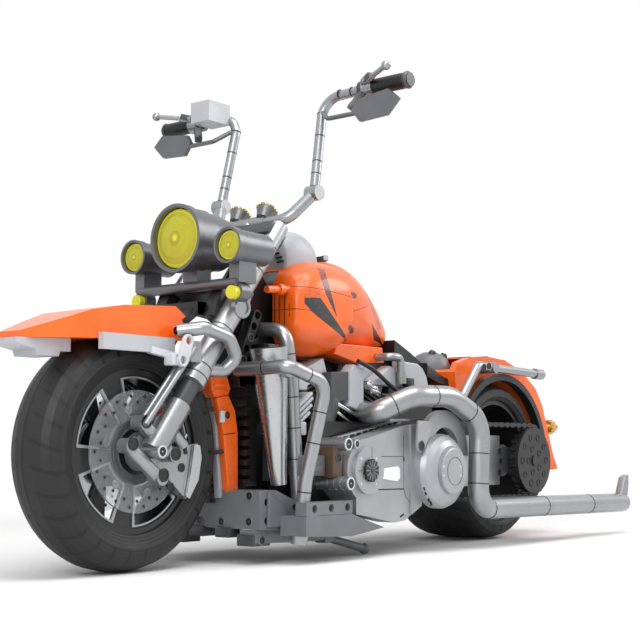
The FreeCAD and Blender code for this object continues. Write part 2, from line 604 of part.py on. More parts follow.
tank_plan = [(x, y * TANK_HALF_WIDTH / TANK_HALF_PLAN[2][1]) for x, y in TANK_HALF_PLAN]
tank_section = superellipse(TANK_HALF_WIDTH, TANK_HALF_HEIGHT, TANK_CENTRE_Z, TANK_POWER, TANK_STEPS)
tank = side_prism(TANK_SIDE, -TANK_HALF_WIDTH, TANK_HALF_WIDTH).common(plan_prism(two_sided(tank_plan)))
tank = largest(tank.common(front_prism(tank_section, *TANK_ENDS)).cut([block(*TUNNEL), backbone(TUNNEL_HALF)]))
piece("tank", tank)
piece("head_housing", largest(side_prism(HOUSING_SIDE, -HOUSING_HALF, HOUSING_HALF).cut([tank, frame])))
CAP_FOOT = (2.0, 0.0, 194.0)
CAP_TOP = (3.0, 0.0, 199.0)
TANK_CAP_RADIUS = 7.0
piece("tank_cap", rod(CAP_FOOT, CAP_TOP, TANK_CAP_RADIUS).cut(tank))

# Seat: a low band behind the tank, and a raised pad on its back half.
SEAT_SIDE = [(-63.5, 158), (-63.5, 147), (-80, 134), (-110, 126), (-140, 128), (-155, 132), (-154, 136),
             (-102, 137), (-78, 148)]
PAD_SIDE = [(-103, 137.4), (-154, 136.4), (-157, 141), (-151, 145.5), (-138, 146.5), (-118, 142)]
SEAT_HALF_PLAN = [(-63, 13), (-90, 20), (-120, 25), (-145, 24), (-157, 15)]
SEAT_HALF = 28.0
seat_area = plan_prism(two_sided(SEAT_HALF_PLAN))
seat = side_prism(SEAT_SIDE, -SEAT_HALF, SEAT_HALF).common(seat_area).cut(backbone(TUNNEL_HALF))
seat_pad = side_prism(PAD_SIDE, -SEAT_HALF, SEAT_HALF).common(seat_area)
piece("seat", seat)
piece("seat_pad", seat_pad)

# Rear fender and what it carries
FENDER_OUTSIDE = [(-123, 125), (-128, 132), (-146, 137), (-170, 138.5), (-195, 137), (-222, 129), (-243, 116),
                  (-253, 103), (-261, 84), (-270, 63), (-277, 52), (-268, 51), (-200, 60), (-126, 100)]
REAR_FENDER_HALF = 30.0
FENDER_CLEARANCE = 6.5
LINER_CLEARANCE = 1.5
LINER_Y = (30.2, 37.0)
LINER_ANGLES = (40.0, 190.0)
FENDER_CLEAR = REAR_RADIUS + FENDER_CLEARANCE
rear_fender = side_prism(FENDER_OUTSIDE, -REAR_FENDER_HALF, REAR_FENDER_HALF)
rear_fender = largest(rear_fender.cut([drum(REAR_HUB, -REAR_FENDER_HALF, REAR_FENDER_HALF, FENDER_CLEAR), seat,
                                       seat_pad]))
piece("rear_fender", rear_fender)
piece("fender_liner", *both(arch(REAR_HUB, *LINER_Y, REAR_RADIUS + LINER_CLEARANCE, FENDER_CLEAR, *LINER_ANGLES)))

FENDER_BAR = [(-116, 41, 106), (-138, 41, 130), (-156, 41, 129), (-230, 41, 127)]
FENDER_BAR_BENDS = [6, 5]
FENDER_BAR_RADIUS = 3.2
FENDER_BAR_END = 4.2
FENDER_BAR_SOCKET = ((-221, 41, 127.2), (-232, 41, 127))
FENDER_PIN = (-157.0, 129.0)
FENDER_PIN_Y = (30.1, 45.0)
fender_bar = [bent_tube(FENDER_BAR, FENDER_BAR_RADIUS, FENDER_BAR_BENDS), rod(*FENDER_BAR_SOCKET, FENDER_BAR_END),
              drum(FENDER_PIN, *FENDER_PIN_Y, FENDER_BAR_END)]
piece("fender_struts", *both(fused(fender_bar).cut(PARTS["fender_liner"])))

# Tail lights: a stub, a toothed ring and a tip.
TAIL_Y = 22.0
TAIL_Z = 86.0
TAIL_STEPS = [(-258, -275, 3.2), (-274, -281, 6.0), (-281, -288, 2.8)]
TAIL_TEETH = 12
TAIL_TOOTH_CUT = 1.0


def tail_rod(start, end, radius):
    return rod((start, TAIL_Y, TAIL_Z), (end, TAIL_Y, TAIL_Z), radius)


tail = fused([tail_rod(*step) for step in TAIL_STEPS])
tail_start, tail_end, tail_radius = TAIL_STEPS[1]
tail_grooves = []
for index in range(TAIL_TEETH):
    angle = 2 * math.pi * index / TAIL_TEETH
    aside = LEFT * (tail_radius * math.cos(angle)) + UP * (tail_radius * math.sin(angle))
    tail_grooves.append(rod(placed(tail_end, TAIL_Y, TAIL_Z) + aside, placed(tail_start, TAIL_Y, TAIL_Z) + aside,
                            TAIL_TOOTH_CUT))
piece("tail_light", *both(tail.cut(tail_grooves + [rear_fender])))

# Swingarm, turning on a pivot through the cradle
ARM_PLATE = [(-72, 42), (-72, 78), (-152, 78), (-152, 70), (-194, 68), (-194, 51), (-152, 50), (-152, 42)]
ARM_Y = (40.5, 50.0)
ARM_HOLES = [(-84, 70), (-84, 50)]
PIVOT_AT = (-98.6, 59.5)
PIVOT_RADIUS = 4.2
PIVOT_REACH = ARM_Y[0] + GAP
arm = side_prism(ARM_PLATE, *ARM_Y).cut([drum(REAR_HUB, *ARM_Y, BORE_RADIUS)] + holes_across(ARM_HOLES, *ARM_Y))
swing_pivot = drum(PIVOT_AT, -PIVOT_REACH, PIVOT_REACH, PIVOT_RADIUS)
piece("swingarm", fused(both(arm) + [swing_pivot]))
frame = frame.cut(drum(PIVOT_AT, -ARM_Y[0], ARM_Y[0], PIVOT_RADIUS + SLIP))
piece("frame", frame)

# Front of the frame: orange panels, a pale strip inside each, and a beam of pin holes in the middle
TUBE_SIDE = [(104, 43), (106, 40), (109, 43), (112, 74), (114, 84), (117, 96), (117, 108), (112, 119), (108, 108),
             (97, 80), (95, 46)]
TUBE_TOOTH = [(108, 96), (116, 93), (118, 99), (112, 104)]
TUBE_TOOTH_Y = (6.0, 12.0)
TUBE_PANEL_Y = (10.5, 20.0)
STRIP_SIDE = [(100, 39), (109.5, 39), (113, 74), (115, 90), (106, 90), (100, 74)]
STRIP_Y = (4.2, 10.3)
FRONT_BEAM_SIDE = [(101, 36), (109, 36), (115.5, 90), (107.5, 90)]
FRONT_BEAM_HALF = 4.0
BEAM_HOLES_FROM = (105.5, 40.0)
BEAM_HOLES_TO = (111.3, 88.0)
BEAM_HOLE_COUNT = 7
BEAM_RUN = BEAM_HOLE_COUNT - 1
beam_holes = [placed(BEAM_HOLES_FROM[0], 0, BEAM_HOLES_FROM[1]) * (1 - step / BEAM_RUN)
              + placed(BEAM_HOLES_TO[0], 0, BEAM_HOLES_TO[1]) * (step / BEAM_RUN) for step in range(BEAM_HOLE_COUNT)]
piece("down_tube", *both(fused([side_prism(TUBE_SIDE, *TUBE_PANEL_Y), side_prism(TUBE_TOOTH, *TUBE_TOOTH_Y)])))
piece("front_strips", *both(side_prism(STRIP_SIDE, *STRIP_Y)))
piece("front_beam", side_prism(FRONT_BEAM_SIDE, -FRONT_BEAM_HALF, FRONT_BEAM_HALF).cut(
    holes_across(beam_holes, -FRONT_BEAM_HALF, FRONT_BEAM_HALF)))

RADIATOR = ((84.0, -19.0, 46.0), (93.0, 19.0, 108.0))
RADIATOR_TABS = [((73, -4, 57), (85, 4, 63)), ((73, -4, 95), (85, 4, 101))]
SLAT_COUNT = 9
SLAT_SHARE = 0.42
SLAT_END_SHARE = 0.065
SLAT_DEPTH_SHARE = 0.55
radiator_low, radiator_high = placed(*RADIATOR[0]), placed(*RADIATOR[1])
radiator_size = radiator_high - radiator_low
slat_pitch = radiator_size.z * (1 - 2 * SLAT_END_SHARE) / SLAT_COUNT
slot_start = radiator_low + FORWARD * (radiator_size.x * SLAT_DEPTH_SHARE) + UP * (radiator_size.z * SLAT_END_SHARE)
slots = [Part.makeBox(radiator_size.x, radiator_size.y, slat_pitch * SLAT_SHARE, slot_start + UP * slat_pitch * index)
         for index in range(SLAT_COUNT)]
radiator = fused([block(*RADIATOR)] + [block(*tab) for tab in RADIATOR_TABS])
piece("radiator", radiator.cut(slots + [frame]))

SHIELD_TOP = (89, 33, 130)
SHIELD_FOOT = (78, 32, 47)
SHIELD_RADII = (12.0, 5.0)
PIPE_PATH = [(68, 6.6, 148), (68, 37, 138), (62, 38.5, 108), (60, 38.5, 34.4)]
PIPE_BENDS = [10, 20]
PIPE_RADIUS = 4.0
PIPE_SEAM_RADIUS = 4.5
PIPE_SEAM_HALF = 0.6
PIPE_SEAMS = (0.2, 0.4, 0.6, 0.8)


def seam_rings(start, end, shares, half, radius):
    """Narrow rings where the lengths of a tube meet, at shares of the run from start to end."""
    start, end = point(start), point(end)
    along = (end - start).normalize() * half
    middles = [start * (1 - share) + end * share for share in shares]
    return [rod(middle - along, middle + along, radius) for middle in middles]


piece("shields", *both(taper(SHIELD_TOP, SHIELD_FOOT, *SHIELD_RADII)))
pipe = bent_tube(PIPE_PATH, PIPE_RADIUS, PIPE_BENDS).cut(frame)
pipe_rings = seam_rings(PIPE_PATH[2], PIPE_PATH[3], PIPE_SEAMS, PIPE_SEAM_HALF, PIPE_SEAM_RADIUS)
piece("pipes", *both(fused([pipe] + pipe_rings)))

CRASH_BAR = [(104, 20.5, 116.5), (104, 62, 117), (73, 65, 109), (76, 52, 50), (72, 43, 20)]
CRASH_BENDS = [5, 10, 30]
CRASH_RADIUS = 3.5
CRASH_SEAM_RADIUS = 3.9
CRASH_SEAMS = (0.3, 0.62, 0.94)
SHIELD_CLAMP = ((104, 33, 116.7), (92, 33, 117))
SHIELD_CLAMP_RADIUS = 2.5
crash = fused([bent_tube(CRASH_BAR, CRASH_RADIUS, CRASH_BENDS), rod(*SHIELD_CLAMP, SHIELD_CLAMP_RADIUS)]
              + seam_rings(CRASH_BAR[2], CRASH_BAR[3], CRASH_SEAMS, PIPE_SEAM_HALF, CRASH_SEAM_RADIUS))
crash = crash.cut(PARTS["shields"])
piece("crash_bars", *both(crash))

CHIN_SIDE = [(105, 44), (104, 21), (62, 18), (56, 22), (56, 31), (90, 44)]
CHIN_HALF = 40.0
CHIN_HOLES = [(98, 37), (72, 33), (98, 26), (72, 26)]
CHIN_HOLE_Y = 8.0
chin = side_prism(CHIN_SIDE, -CHIN_HALF, CHIN_HALF)
for hole in holes_across(CHIN_HOLES, CHIN_HALF - CHIN_HOLE_Y, CHIN_HALF):
    chin = chin.cut(both(hole))
chin = chin.cut([frame, crash, mirrored(crash), PARTS["front_beam"], PARTS["front_strips"], PARTS["down_tube"]])
piece("lower_panels", largest(chin))

# Pegs and footboards. The outer peg is ribbed.
PEG_AT = (50.0, 47.5)
PEG_Y = (35.1, 66.0)
PEG_RADIUS = 4.2
PEG_GROOVE_RADIUS = 3.5
PEG_GROOVE_HALF = 0.7
PEG_GROOVES = (41.0, 46.0, 51.0, 56.0, 61.0)
SOCKET_AT = (47.0, 71.5)
SOCKET_Y = (35.1, 62.0)
grooves = [ring(PEG_AT, y - PEG_GROOVE_HALF, y + PEG_GROOVE_HALF, PEG_GROOVE_RADIUS, PEG_RADIUS + GAP)
           for y in PEG_GROOVES]
peg = drum(PEG_AT, *PEG_Y, PEG_RADIUS).cut(grooves)
piece("foot_pegs", *both(peg), *both(drum(SOCKET_AT, *SOCKET_Y, PEG_RADIUS)))

BOARD_BEAM = [(88, 37), (43, 37), (43, 29), (88, 29)]
BOARD_BEAM_Y = (54.0, 62.0)
BOARD_HOLES = [(80, 33), (64, 33), (48, 33)]
BOARD_PLATE = [(88, 28.8), (44, 28.8), (10, 19), (44, 15), (88, 17)]
BOARD_PLATE_Y = (42.0, 62.0)
BOARD_POST = ((78, 54, 28), (86, 62, 30))
board = side_prism(BOARD_BEAM, *BOARD_BEAM_Y).cut(holes_across(BOARD_HOLES, *BOARD_BEAM_Y))
board = fused([board, side_prism(BOARD_PLATE, *BOARD_PLATE_Y), block(*BOARD_POST)]).cut(crash)
piece("footboards", *both(largest(board)))

# Engine: a plain block, with two finned cylinders leaning apart, their rocker covers and the side covers
ENGINE_SIDE = [(52, 48), (52, 78), (40, 86), (-36, 86), (-88, 84), (-90, 62), (-84, 40), (-36, 38), (48, 38)]
ENGINE_HALF = 35.0
piece("engine_block", largest(side_prism(ENGINE_SIDE, -ENGINE_HALF, ENGINE_HALF).cut([frame, swing_pivot])))

LEAN = math.radians(22.0)
CYLINDER_BASES = [(25.0, 1), (-14.0, -1)]
CYLINDER_BASE_Z = 86.5
CYLINDER_HEIGHT = 27.0
CYLINDER_HALF_Y = 21.0
FIN_HALF_Y = 25.0
FIN_COUNT = 8
FIN_FIRST = 1.2
FIN_PITCH = 3.3
FIN_THICKNESS = 1.5
HEAD_HEIGHT = 11.0
# Half lengths fore and aft, as shares of the distance between the two bases.
BARREL_SHARE = 0.32
FIN_SHARE = 0.3974
HEAD_SHARE = 0.372
bases = [placed(x, 0, CYLINDER_BASE_Z) for x, way in CYLINDER_BASES]
spacing = bases[0].x - bases[1].x


def leaning_block(base, lean, low, high, half_x, half_y):
    """A block square to a cylinder that leans forward by the given angle."""
    along = V(math.sin(lean), 0, math.cos(lean))
    across = V(math.cos(lean), 0, -math.sin(lean))
    corners = [base + across * (sign_x * half_x) + LEFT * (sign_y * half_y) + along * low
               for sign_x, sign_y in ((-1, -1), (1, -1), (1, 1), (-1, 1))]
    return polygon(corners).extrude(along * (high - low))


below_deck = Part.makeBox(WHEELBASE, 2 * TANK_HALF_WIDTH, CYLINDER_BASE_Z, V(REAR_X, -TANK_HALF_WIDTH, 0))
cylinders = []
rockers = []
for base, (drawn_x, way) in zip(bases, CYLINDER_BASES):
    below = below_deck.copy()
    below.translate(UP * (base.z - CYLINDER_BASE_Z))
    stack = [leaning_block(base, LEAN * way, 0, CYLINDER_HEIGHT, spacing * BARREL_SHARE, CYLINDER_HALF_Y)]
    for index in range(FIN_COUNT):
        low = FIN_FIRST + FIN_PITCH * index
        stack.append(leaning_block(base, LEAN * way, low, low + FIN_THICKNESS, spacing * FIN_SHARE, FIN_HALF_Y))
    cylinders.append(fused(stack).cut([below, frame]))
    rockers.append(leaning_block(base, LEAN * way, CYLINDER_HEIGHT + SLIP, CYLINDER_HEIGHT + HEAD_HEIGHT,
                                 spacing * HEAD_SHARE, FIN_HALF_Y).cut([frame, tank]))
piece("cylinders", *cylinders)
piece("rocker_covers", *rockers)

COVER_Y = (25.2, 46.0)
COVER_SIDES = [[(2, 110), (-4, 120), (-10, 124), (-26, 113), (-20, 108)],
               [(-30, 112), (-34, 127), (-44, 129), (-64, 124), (-68, 113)]]
piece("engine_covers", *[half for outline in COVER_SIDES for half in both(side_prism(outline, *COVER_Y))])
INTAKE_PATH = [(-8, 48, 121), (-14, 50, 131), (-32, 50, 131), (-35, 50, 115)]
INTAKE_BENDS = [5, 7]
INTAKE_RADIUS = 2.8
intake = bent_tube(INTAKE_PATH, INTAKE_RADIUS, INTAKE_BENDS).cut(PARTS["engine_covers"])
piece("intake_pipe", largest(intake))

PRIMARY_AT = (23.0, 55.0)
PRIMARY_BODY = [(23, 75), (-19, 84), (-36, 85), (-36, 31), (-19, 22), (-7, 21), (34, 28), (34, 46)]
PRIMARY_Y = (35.1, 58.0)
PRIMARY_RADIUS = 20.0
PRIMARY_STEP_RADIUS = 15.0
PRIMARY_STEP_Y = 60.5
PRIMARY_BAND = [(-24, 84.5), (-36, 85), (-36, 31), (-24, 25.5)]
PRIMARY_BAND_Y = 59.6
PRIMARY_BODY_Y = 44.0
GEAR_RADIUS = 7.3
GEAR_END = 62.5
GEAR_TEETH = 12
GEAR_CUT_RADIUS = 1.1
primary = fused([side_prism(PRIMARY_BODY, PRIMARY_BODY_Y, PRIMARY_Y[1]),
                 side_prism(PRIMARY_BAND, PRIMARY_Y[1], PRIMARY_BAND_Y),
                 drum(PRIMARY_AT, PRIMARY_Y[0], PRIMARY_Y[1], PRIMARY_RADIUS),
                 drum(PRIMARY_AT, PRIMARY_Y[1], PRIMARY_STEP_Y, PRIMARY_STEP_RADIUS)])
piece("primary_cover", primary.cut(PARTS["lower_panels"]))
gear_middle = centre_of(PRIMARY_AT)
gear_cuts = [drum(round_axle(gear_middle, GEAR_RADIUS, 2 * math.pi * index / GEAR_TEETH), PRIMARY_STEP_Y, GEAR_END,
                  GEAR_CUT_RADIUS) for index in range(GEAR_TEETH)]
piece("primary_gear", drum(PRIMARY_AT, PRIMARY_STEP_Y, GEAR_END, GEAR_RADIUS).cut(gear_cuts))

# Clutch dome, its faced plate, and the arch over it
DOME_AT = (-51.0, 53.6)
DOME_PROFILE = [(0, 0), (25, 0), (25, 5.4), (23.6, 8.9), (20.5, 11.9), (17, 13.9), (0, 13.9)]
PLATE_PROFILE = [(0, 0), (15.4, 0), (15.4, 2.2), (14.6, 2.8), (9.6, 2.8), (9.6, 2.1), (8.8, 2.1), (8.8, 2.8),
                 (0, 2.8)]
PLATE_START = 73.5
ARCH_AT = (-57.0, 66.0)
ARCH_Y = (59.7, 64.5)
ARCH_INNER = 17.0
ARCH_OUTER = 28.5
ARCH_ANGLES = (-5.0, 185.0)
DOME_CLEAR_RADIUS = 25.1
dome_centre = centre_of(DOME_AT)
piece("clutch_dome", spun(DOME_PROFILE, dome_centre + LEFT * PRIMARY_BAND_Y))
piece("clutch_plate", spun(PLATE_PROFILE, dome_centre + LEFT * PLATE_START))
dome_clear = drum(DOME_AT, *ARCH_Y, DOME_CLEAR_RADIUS)
piece("dome_arch", largest(arch(ARCH_AT, *ARCH_Y, ARCH_INNER, ARCH_OUTER, *ARCH_ANGLES).cut(dome_clear)))

# Exhaust, with rings where its lengths meet, and the fin at its end
EXHAUST_PATH = [(22, 24, 92), (14, 44, 90), (-34, 62, 106), (-82, 71, 99), (-90, 73, 26.5), (-306, 73, 24.5)]
EXHAUST_BENDS = [12, 24, 30, 13]
EXHAUST_RADIUS = 6.3
EXHAUST_SEAM_RADIUS = 6.8
EXHAUST_SEAM_HALF = 0.7
EXHAUST_SEAMS = (0.12, 0.24, 0.36, 0.48, 0.6, 0.72, 0.84)
EXHAUST_FIN = [(-298, 30), (-306, 45), (-313, 47), (-313, 40), (-309, 26), (-309, 18), (-304, 18), (-304, 26)]
EXHAUST_FIN_Y = (70.0, 76.0)
exhaust = [bent_tube(EXHAUST_PATH, EXHAUST_RADIUS, EXHAUST_BENDS), side_prism(EXHAUST_FIN, *EXHAUST_FIN_Y)]
exhaust += seam_rings(*EXHAUST_PATH[4:], EXHAUST_SEAMS, EXHAUST_SEAM_HALF, EXHAUST_SEAM_RADIUS)
piece("exhaust", largest(fused(exhaust).cut([PARTS["cylinders"], PARTS["engine_block"]])))

# Side stand and its mount. The foot's ball rests on the floor.
STAND_PIVOT = (33.0, 13.2)
STAND_PIVOT_Y = (26.0, 34.0)
STAND_TOP = (33, 30, 13.2)
STAND_RADIUS = 2.6
STAND_PIN_RADIUS = 1.9
STAND_PIVOT_RADIUS = 4.2
FOOT_AT = (-2.0, 37.0)
FOOT_RADIUS = 3.6
foot = V(placed(FOOT_AT[0], 0, 0).x, FOOT_AT[1], FOOT_RADIUS)
stand = fused([drum(STAND_PIVOT, *STAND_PIVOT_Y, STAND_PIVOT_RADIUS), rod(STAND_TOP, foot, STAND_RADIUS),
               Part.makeSphere(FOOT_RADIUS, foot, foot - point(STAND_TOP))])
piece("side_stand", stand.cut(drum(STAND_PIVOT, *STAND_PIVOT_Y, STAND_PIN_RADIUS + SLIP)))
MOUNT_SIDE = [(26, 20.8), (61, 20.8), (61, 17.8), (104, 20.8), (104, 13), (66, 11.5), (38.5, 11.5), (38.5, 17.9),
              (26, 18.2)]
MOUNT_Y = (23.8, 36.2)
LUG_SIDE = [(28.5, 18.4), (38.4, 18.2), (37.5, 10), (28.5, 10)]
LUG_Y = [(23.8, 25.6), (34.4, 36.2)]
mount = fused([side_prism(MOUNT_SIDE, *MOUNT_Y), drum(STAND_PIVOT, *MOUNT_Y, STAND_PIN_RADIUS)]
              + [side_prism(LUG_SIDE, *sides) for sides in LUG_Y])
piece("stand_mount", largest(mount.cut([PARTS["lower_panels"], crash, frame])))

# Write every part, moved so that the nose and the tail are as far from the origin
NOSE = placed(UNDERPLATE[0][0], 0, 0).x
TAIL = placed(EXHAUST_FIN[2][0], 0, 0).x
os.makedirs("parts", exist_ok=True)
for name, shape in PARTS.items():
    shape.translate(-FORWARD * (NOSE + TAIL) / 2)
    shape.exportStep(os.path.join("parts", name + ".step"))
    print(name, len(shape.Solids), shape.isValid(), round(shape.Volume))
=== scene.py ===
# %% [markdown]
# # A brick-built chopper motorcycle
# The jointed frame comes from the CAD model: wheels, fork, engine, tank. This lesson dresses that
# frame: it sets the camera where the photographer stood, writes the plastics and the lacquered
# metal as node materials, and adds the small parts that make such a model look real, such as pin
# holes, tread, lens ribs and seams. Loading the frame first keeps every piece at its real place.

# %% Load the frame
import bpy
import math
from mathutils import Vector, Matrix


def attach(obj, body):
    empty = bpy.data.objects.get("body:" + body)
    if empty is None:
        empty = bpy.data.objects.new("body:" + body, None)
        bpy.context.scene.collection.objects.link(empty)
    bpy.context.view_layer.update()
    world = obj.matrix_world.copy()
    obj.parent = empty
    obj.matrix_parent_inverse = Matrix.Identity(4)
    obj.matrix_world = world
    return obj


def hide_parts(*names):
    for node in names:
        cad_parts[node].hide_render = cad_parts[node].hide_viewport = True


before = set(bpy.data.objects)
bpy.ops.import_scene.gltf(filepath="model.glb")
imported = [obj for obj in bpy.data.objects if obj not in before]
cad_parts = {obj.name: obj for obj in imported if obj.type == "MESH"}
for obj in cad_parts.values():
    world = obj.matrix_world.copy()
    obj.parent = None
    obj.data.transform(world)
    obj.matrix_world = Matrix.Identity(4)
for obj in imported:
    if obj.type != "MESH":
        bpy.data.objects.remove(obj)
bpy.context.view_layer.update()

MM = 0.001
ORIGIN_SHIFT = 25.5
WHEELBASE = 361.4
FRONT_X = WHEELBASE / 2
REAR_X = -WHEELBASE / 2
FRONT_RADIUS = 67.3
REAR_RADIUS = 59.5
RAKE = math.radians(37.5)
AHEAD, LEFT, RIGHT, UP = (1, 0, 0), (0, 1, 0), (0, -1, 0), (0, 0, 1)


def at(x, y, z):
    """A place in the drawing's millimetres, as a point in the frame's metres."""
    return Vector(((x + ORIGIN_SHIFT) * MM, y * MM, z * MM))


# %% [markdown]
# ## Camera
# The photograph is a low three-quarter view from the front left. The camera's place was worked out
# from the two wheels: their sizes and the line they stand on fix distance, height and direction.
# A long lens keeps the wheels' ellipses as slim as they are in the photograph.

# %% Camera
CAMERA_AT = (685.0, 552.9, 70.2)
CAMERA_YAW = math.radians(38.83)
CAMERA_PITCH = math.radians(5.55)
FOCAL_PIXELS = 1299.0
PHOTO_PIXELS = 640.0
SENSOR_MM = 36.0

camera_data = bpy.data.cameras.new("camera")
camera_data.sensor_width = SENSOR_MM
camera_data.lens = SENSOR_MM * FOCAL_PIXELS / PHOTO_PIXELS
camera_data.clip_start = 0.01
camera = bpy.data.objects.new("camera", camera_data)
bpy.context.scene.collection.objects.link(camera)
looking = Vector((-math.cos(CAMERA_YAW) * math.cos(CAMERA_PITCH),
                  -math.sin(CAMERA_YAW) * math.cos(CAMERA_PITCH), math.sin(CAMERA_PITCH)))
camera.location = at(*CAMERA_AT)
camera.rotation_euler = looking.to_track_quat("-Z", "Y").to_euler()
bpy.context.scene.camera = camera
bpy.context.scene.view_settings.view_transform = "Standard"
print("lens", round(camera_data.lens, 1), "mm")

# %% [markdown]
# ## Floor and light
# The photograph is a product shot on white. A pale floor takes the model's shadow, and three large
# soft lamps light it from above, from the camera's side and from behind, so that lacquered parts show
# long highlights and the black parts still read. Only what the camera sees directly, in a mirror or
# through clear parts, is made whiter, through the world's Light Path.

# %% Floor plane
FLOOR_HALF = 4.0
bpy.ops.object.select_all(action="DESELECT")
bpy.ops.mesh.primitive_plane_add(size=2 * FLOOR_HALF, location=(0, 0, -0.0002))
floor = bpy.context.object
floor.name = "studio_floor"
print("floor", 2 * FLOOR_HALF, "m wide")

# %% [markdown]
# A material is a chain of nodes. One class stands for a node's output and takes sums the way numbers
# do, and another builds the nodes of one material, so that each finish reads as a short formula.

# %% Node builder
class Wire:
    """One output of a shader node, with the usual sums."""

    def __init__(self, shop, socket):
        self.shop, self.socket = shop, socket

    def sum(self, operation, other, swapped=False):
        first, second = (other, self) if swapped else (self, other)
        return self.shop.node("ShaderNodeMath", {"operation": operation}, {0: first, 1: second})

    def __add__(self, other): return self.sum("ADD", other)
    def __sub__(self, other): return self.sum("SUBTRACT", other)
    def __rsub__(self, other): return self.sum("SUBTRACT", other, True)
    def __mul__(self, other): return self.sum("MULTIPLY", other)
    def above(self, other): return self.sum("GREATER_THAN", other)
    def below(self, other): return self.sum("LESS_THAN", other)
    def at_most(self, other): return self.sum("MINIMUM", other)
    def at_least(self, other): return self.sum("MAXIMUM", other)
    def size(self): return self.sum("ABSOLUTE", 0.0)
    def sine(self): return self.sum("SINE", 0.0)
    def power(self, other): return self.sum("POWER", other)
    def angle_with(self, other): return self.sum("ARCTAN2", other)

    def between(self, low, high, soft):
        """1 between low and high, with soft edges."""
        return self.step(low - soft, low) * (1.0 - self.step(high, high + soft))

    def near(self, middle, half, soft):
        """1 on a line at middle, with soft edges."""
        return 1.0 - (self - middle).size().step(half, half + soft)

    def step(self, low, high):
        """Rises smoothly from 0 at low to 1 at high."""
        return self.shop.node("ShaderNodeMapRange", {"interpolation_type": "SMOOTHSTEP"},
                              {"Value": self, "From Min": low, "From Max": high})


class Shop:
    """Builds one material: every node comes from one method."""

    def __init__(self, name, tree=None):
        if tree is None:
            self.material = bpy.data.materials.new(name)
            self.material.use_nodes = True
            tree = self.material.node_tree
        self.tree = tree
        self.surface = tree.nodes.get("Principled BSDF")
        self.places = {}

    def node(self, kind, settings=None, values=None, output=0):
        made = self.tree.nodes.new(kind)
        for key, value in (settings or {}).items():
            if key == "stops":
                while len(made.color_ramp.elements) < len(value):
                    made.color_ramp.elements.new(0.5)
                for element, (position, colour) in zip(made.color_ramp.elements, value):
                    element.position, element.color = position, colour
            else:
                setattr(made, key, value)
        for key, value in (values or {}).items():
            self.join(made.inputs[key], value)
        return Wire(self, made.outputs[output])

    def join(self, socket, value):
        if isinstance(value, Wire):
            self.tree.links.new(value.socket, socket)
        else:
            socket.default_value = value

    def set(self, **values):
        for key, value in values.items():
            self.join(self.surface.inputs[key.replace("_", " ")], value)

    def place(self):
        if "object" not in self.places:
            self.places["object"] = self.node("ShaderNodeTexCoord", output="Object")
        return self.places["object"]

    def axes(self):
        """X, Y and Z of the place, in metres."""
        if "axes" not in self.places:
            split = self.node("ShaderNodeSeparateXYZ", values={0: self.place()}).socket.node
            self.places["axes"] = [Wire(self, socket) for socket in split.outputs]
        return self.places["axes"]

    def noise(self, scale, detail=2.0, roughness=0.5, vector=None):
        return self.node("ShaderNodeTexNoise", values={"Vector": vector or self.place(), "Scale": scale,
                                                       "Detail": detail, "Roughness": roughness})

    def blend(self, factor, first, second):
        mixed = self.node("ShaderNodeMix", {"data_type": "RGBA"}, output=2)
        node = mixed.socket.node
        for key, value in ((0, factor), (6, first), (7, second)):
            self.join(node.inputs[key], value)
        return mixed

    def inside(self, corners, across, up, soft=0.15):
        """1 inside a convex outline whose corners run anticlockwise, in millimetres on two axes."""
        mask = None
        for (x0, y0), (x1, y1) in zip(corners, corners[1:] + corners[:1]):
            length = math.hypot(x1 - x0, y1 - y0)
            nx, ny = -(y1 - y0) / length, (x1 - x0) / length
            edge = (across * nx + up * ny - (x0 * nx + y0 * ny)).step(-soft, soft)
            mask = edge if mask is None else mask * edge
        return mask

    def bump(self, height, distance, **normal):
        return self.node("ShaderNodeBump", values={"Height": height, "Distance": distance, **normal})


def paint(colour):
    return (*colour, 1.0)


WHITE = paint((1, 1, 1))


# %% World and lamps
BACKGROUND_SEEN = 1.0
BACKGROUND_LIGHT = 0.42
MIDDLE = (0, 0, 120)
world = bpy.data.worlds.new("studio")
world.use_nodes = True
bpy.context.scene.world = world
sky = Shop("studio", world.node_tree)
path = world.node_tree.nodes.new("ShaderNodeLightPath")
seen = Wire(sky, path.outputs["Is Camera Ray"]).at_least(Wire(sky, path.outputs["Is Glossy Ray"]))
seen = seen.at_least(Wire(sky, path.outputs["Is Transmission Ray"]))
background = world.node_tree.nodes["Background"]
sky.join(background.inputs["Color"], WHITE)
sky.join(background.inputs["Strength"], seen * (BACKGROUND_SEEN - BACKGROUND_LIGHT) + BACKGROUND_LIGHT)


def softbox(name, place, size, watts):
    """A square soft lamp that looks at the model's middle."""
    data = bpy.data.lights.new(name, "AREA")
    data.shape = "RECTANGLE"
    data.size, data.size_y, data.energy = size, size, watts
    lamp = bpy.data.objects.new(name, data)
    bpy.context.scene.collection.objects.link(lamp)
    lamp.location = at(*place)
    lamp.rotation_euler = (at(*MIDDLE) - lamp.location).to_track_quat("-Z", "Y").to_euler()


softbox("lamp_above", (150, 350, 1200), 0.9, 10.5)
softbox("lamp_front", (1100, 500, 650), 0.6, 7.0)
softbox("lamp_rear", (-900, 700, 800), 0.6, 5.5)
print("lamps", len(bpy.data.lights), "world seen", BACKGROUND_SEEN, "world as light", BACKGROUND_LIGHT)

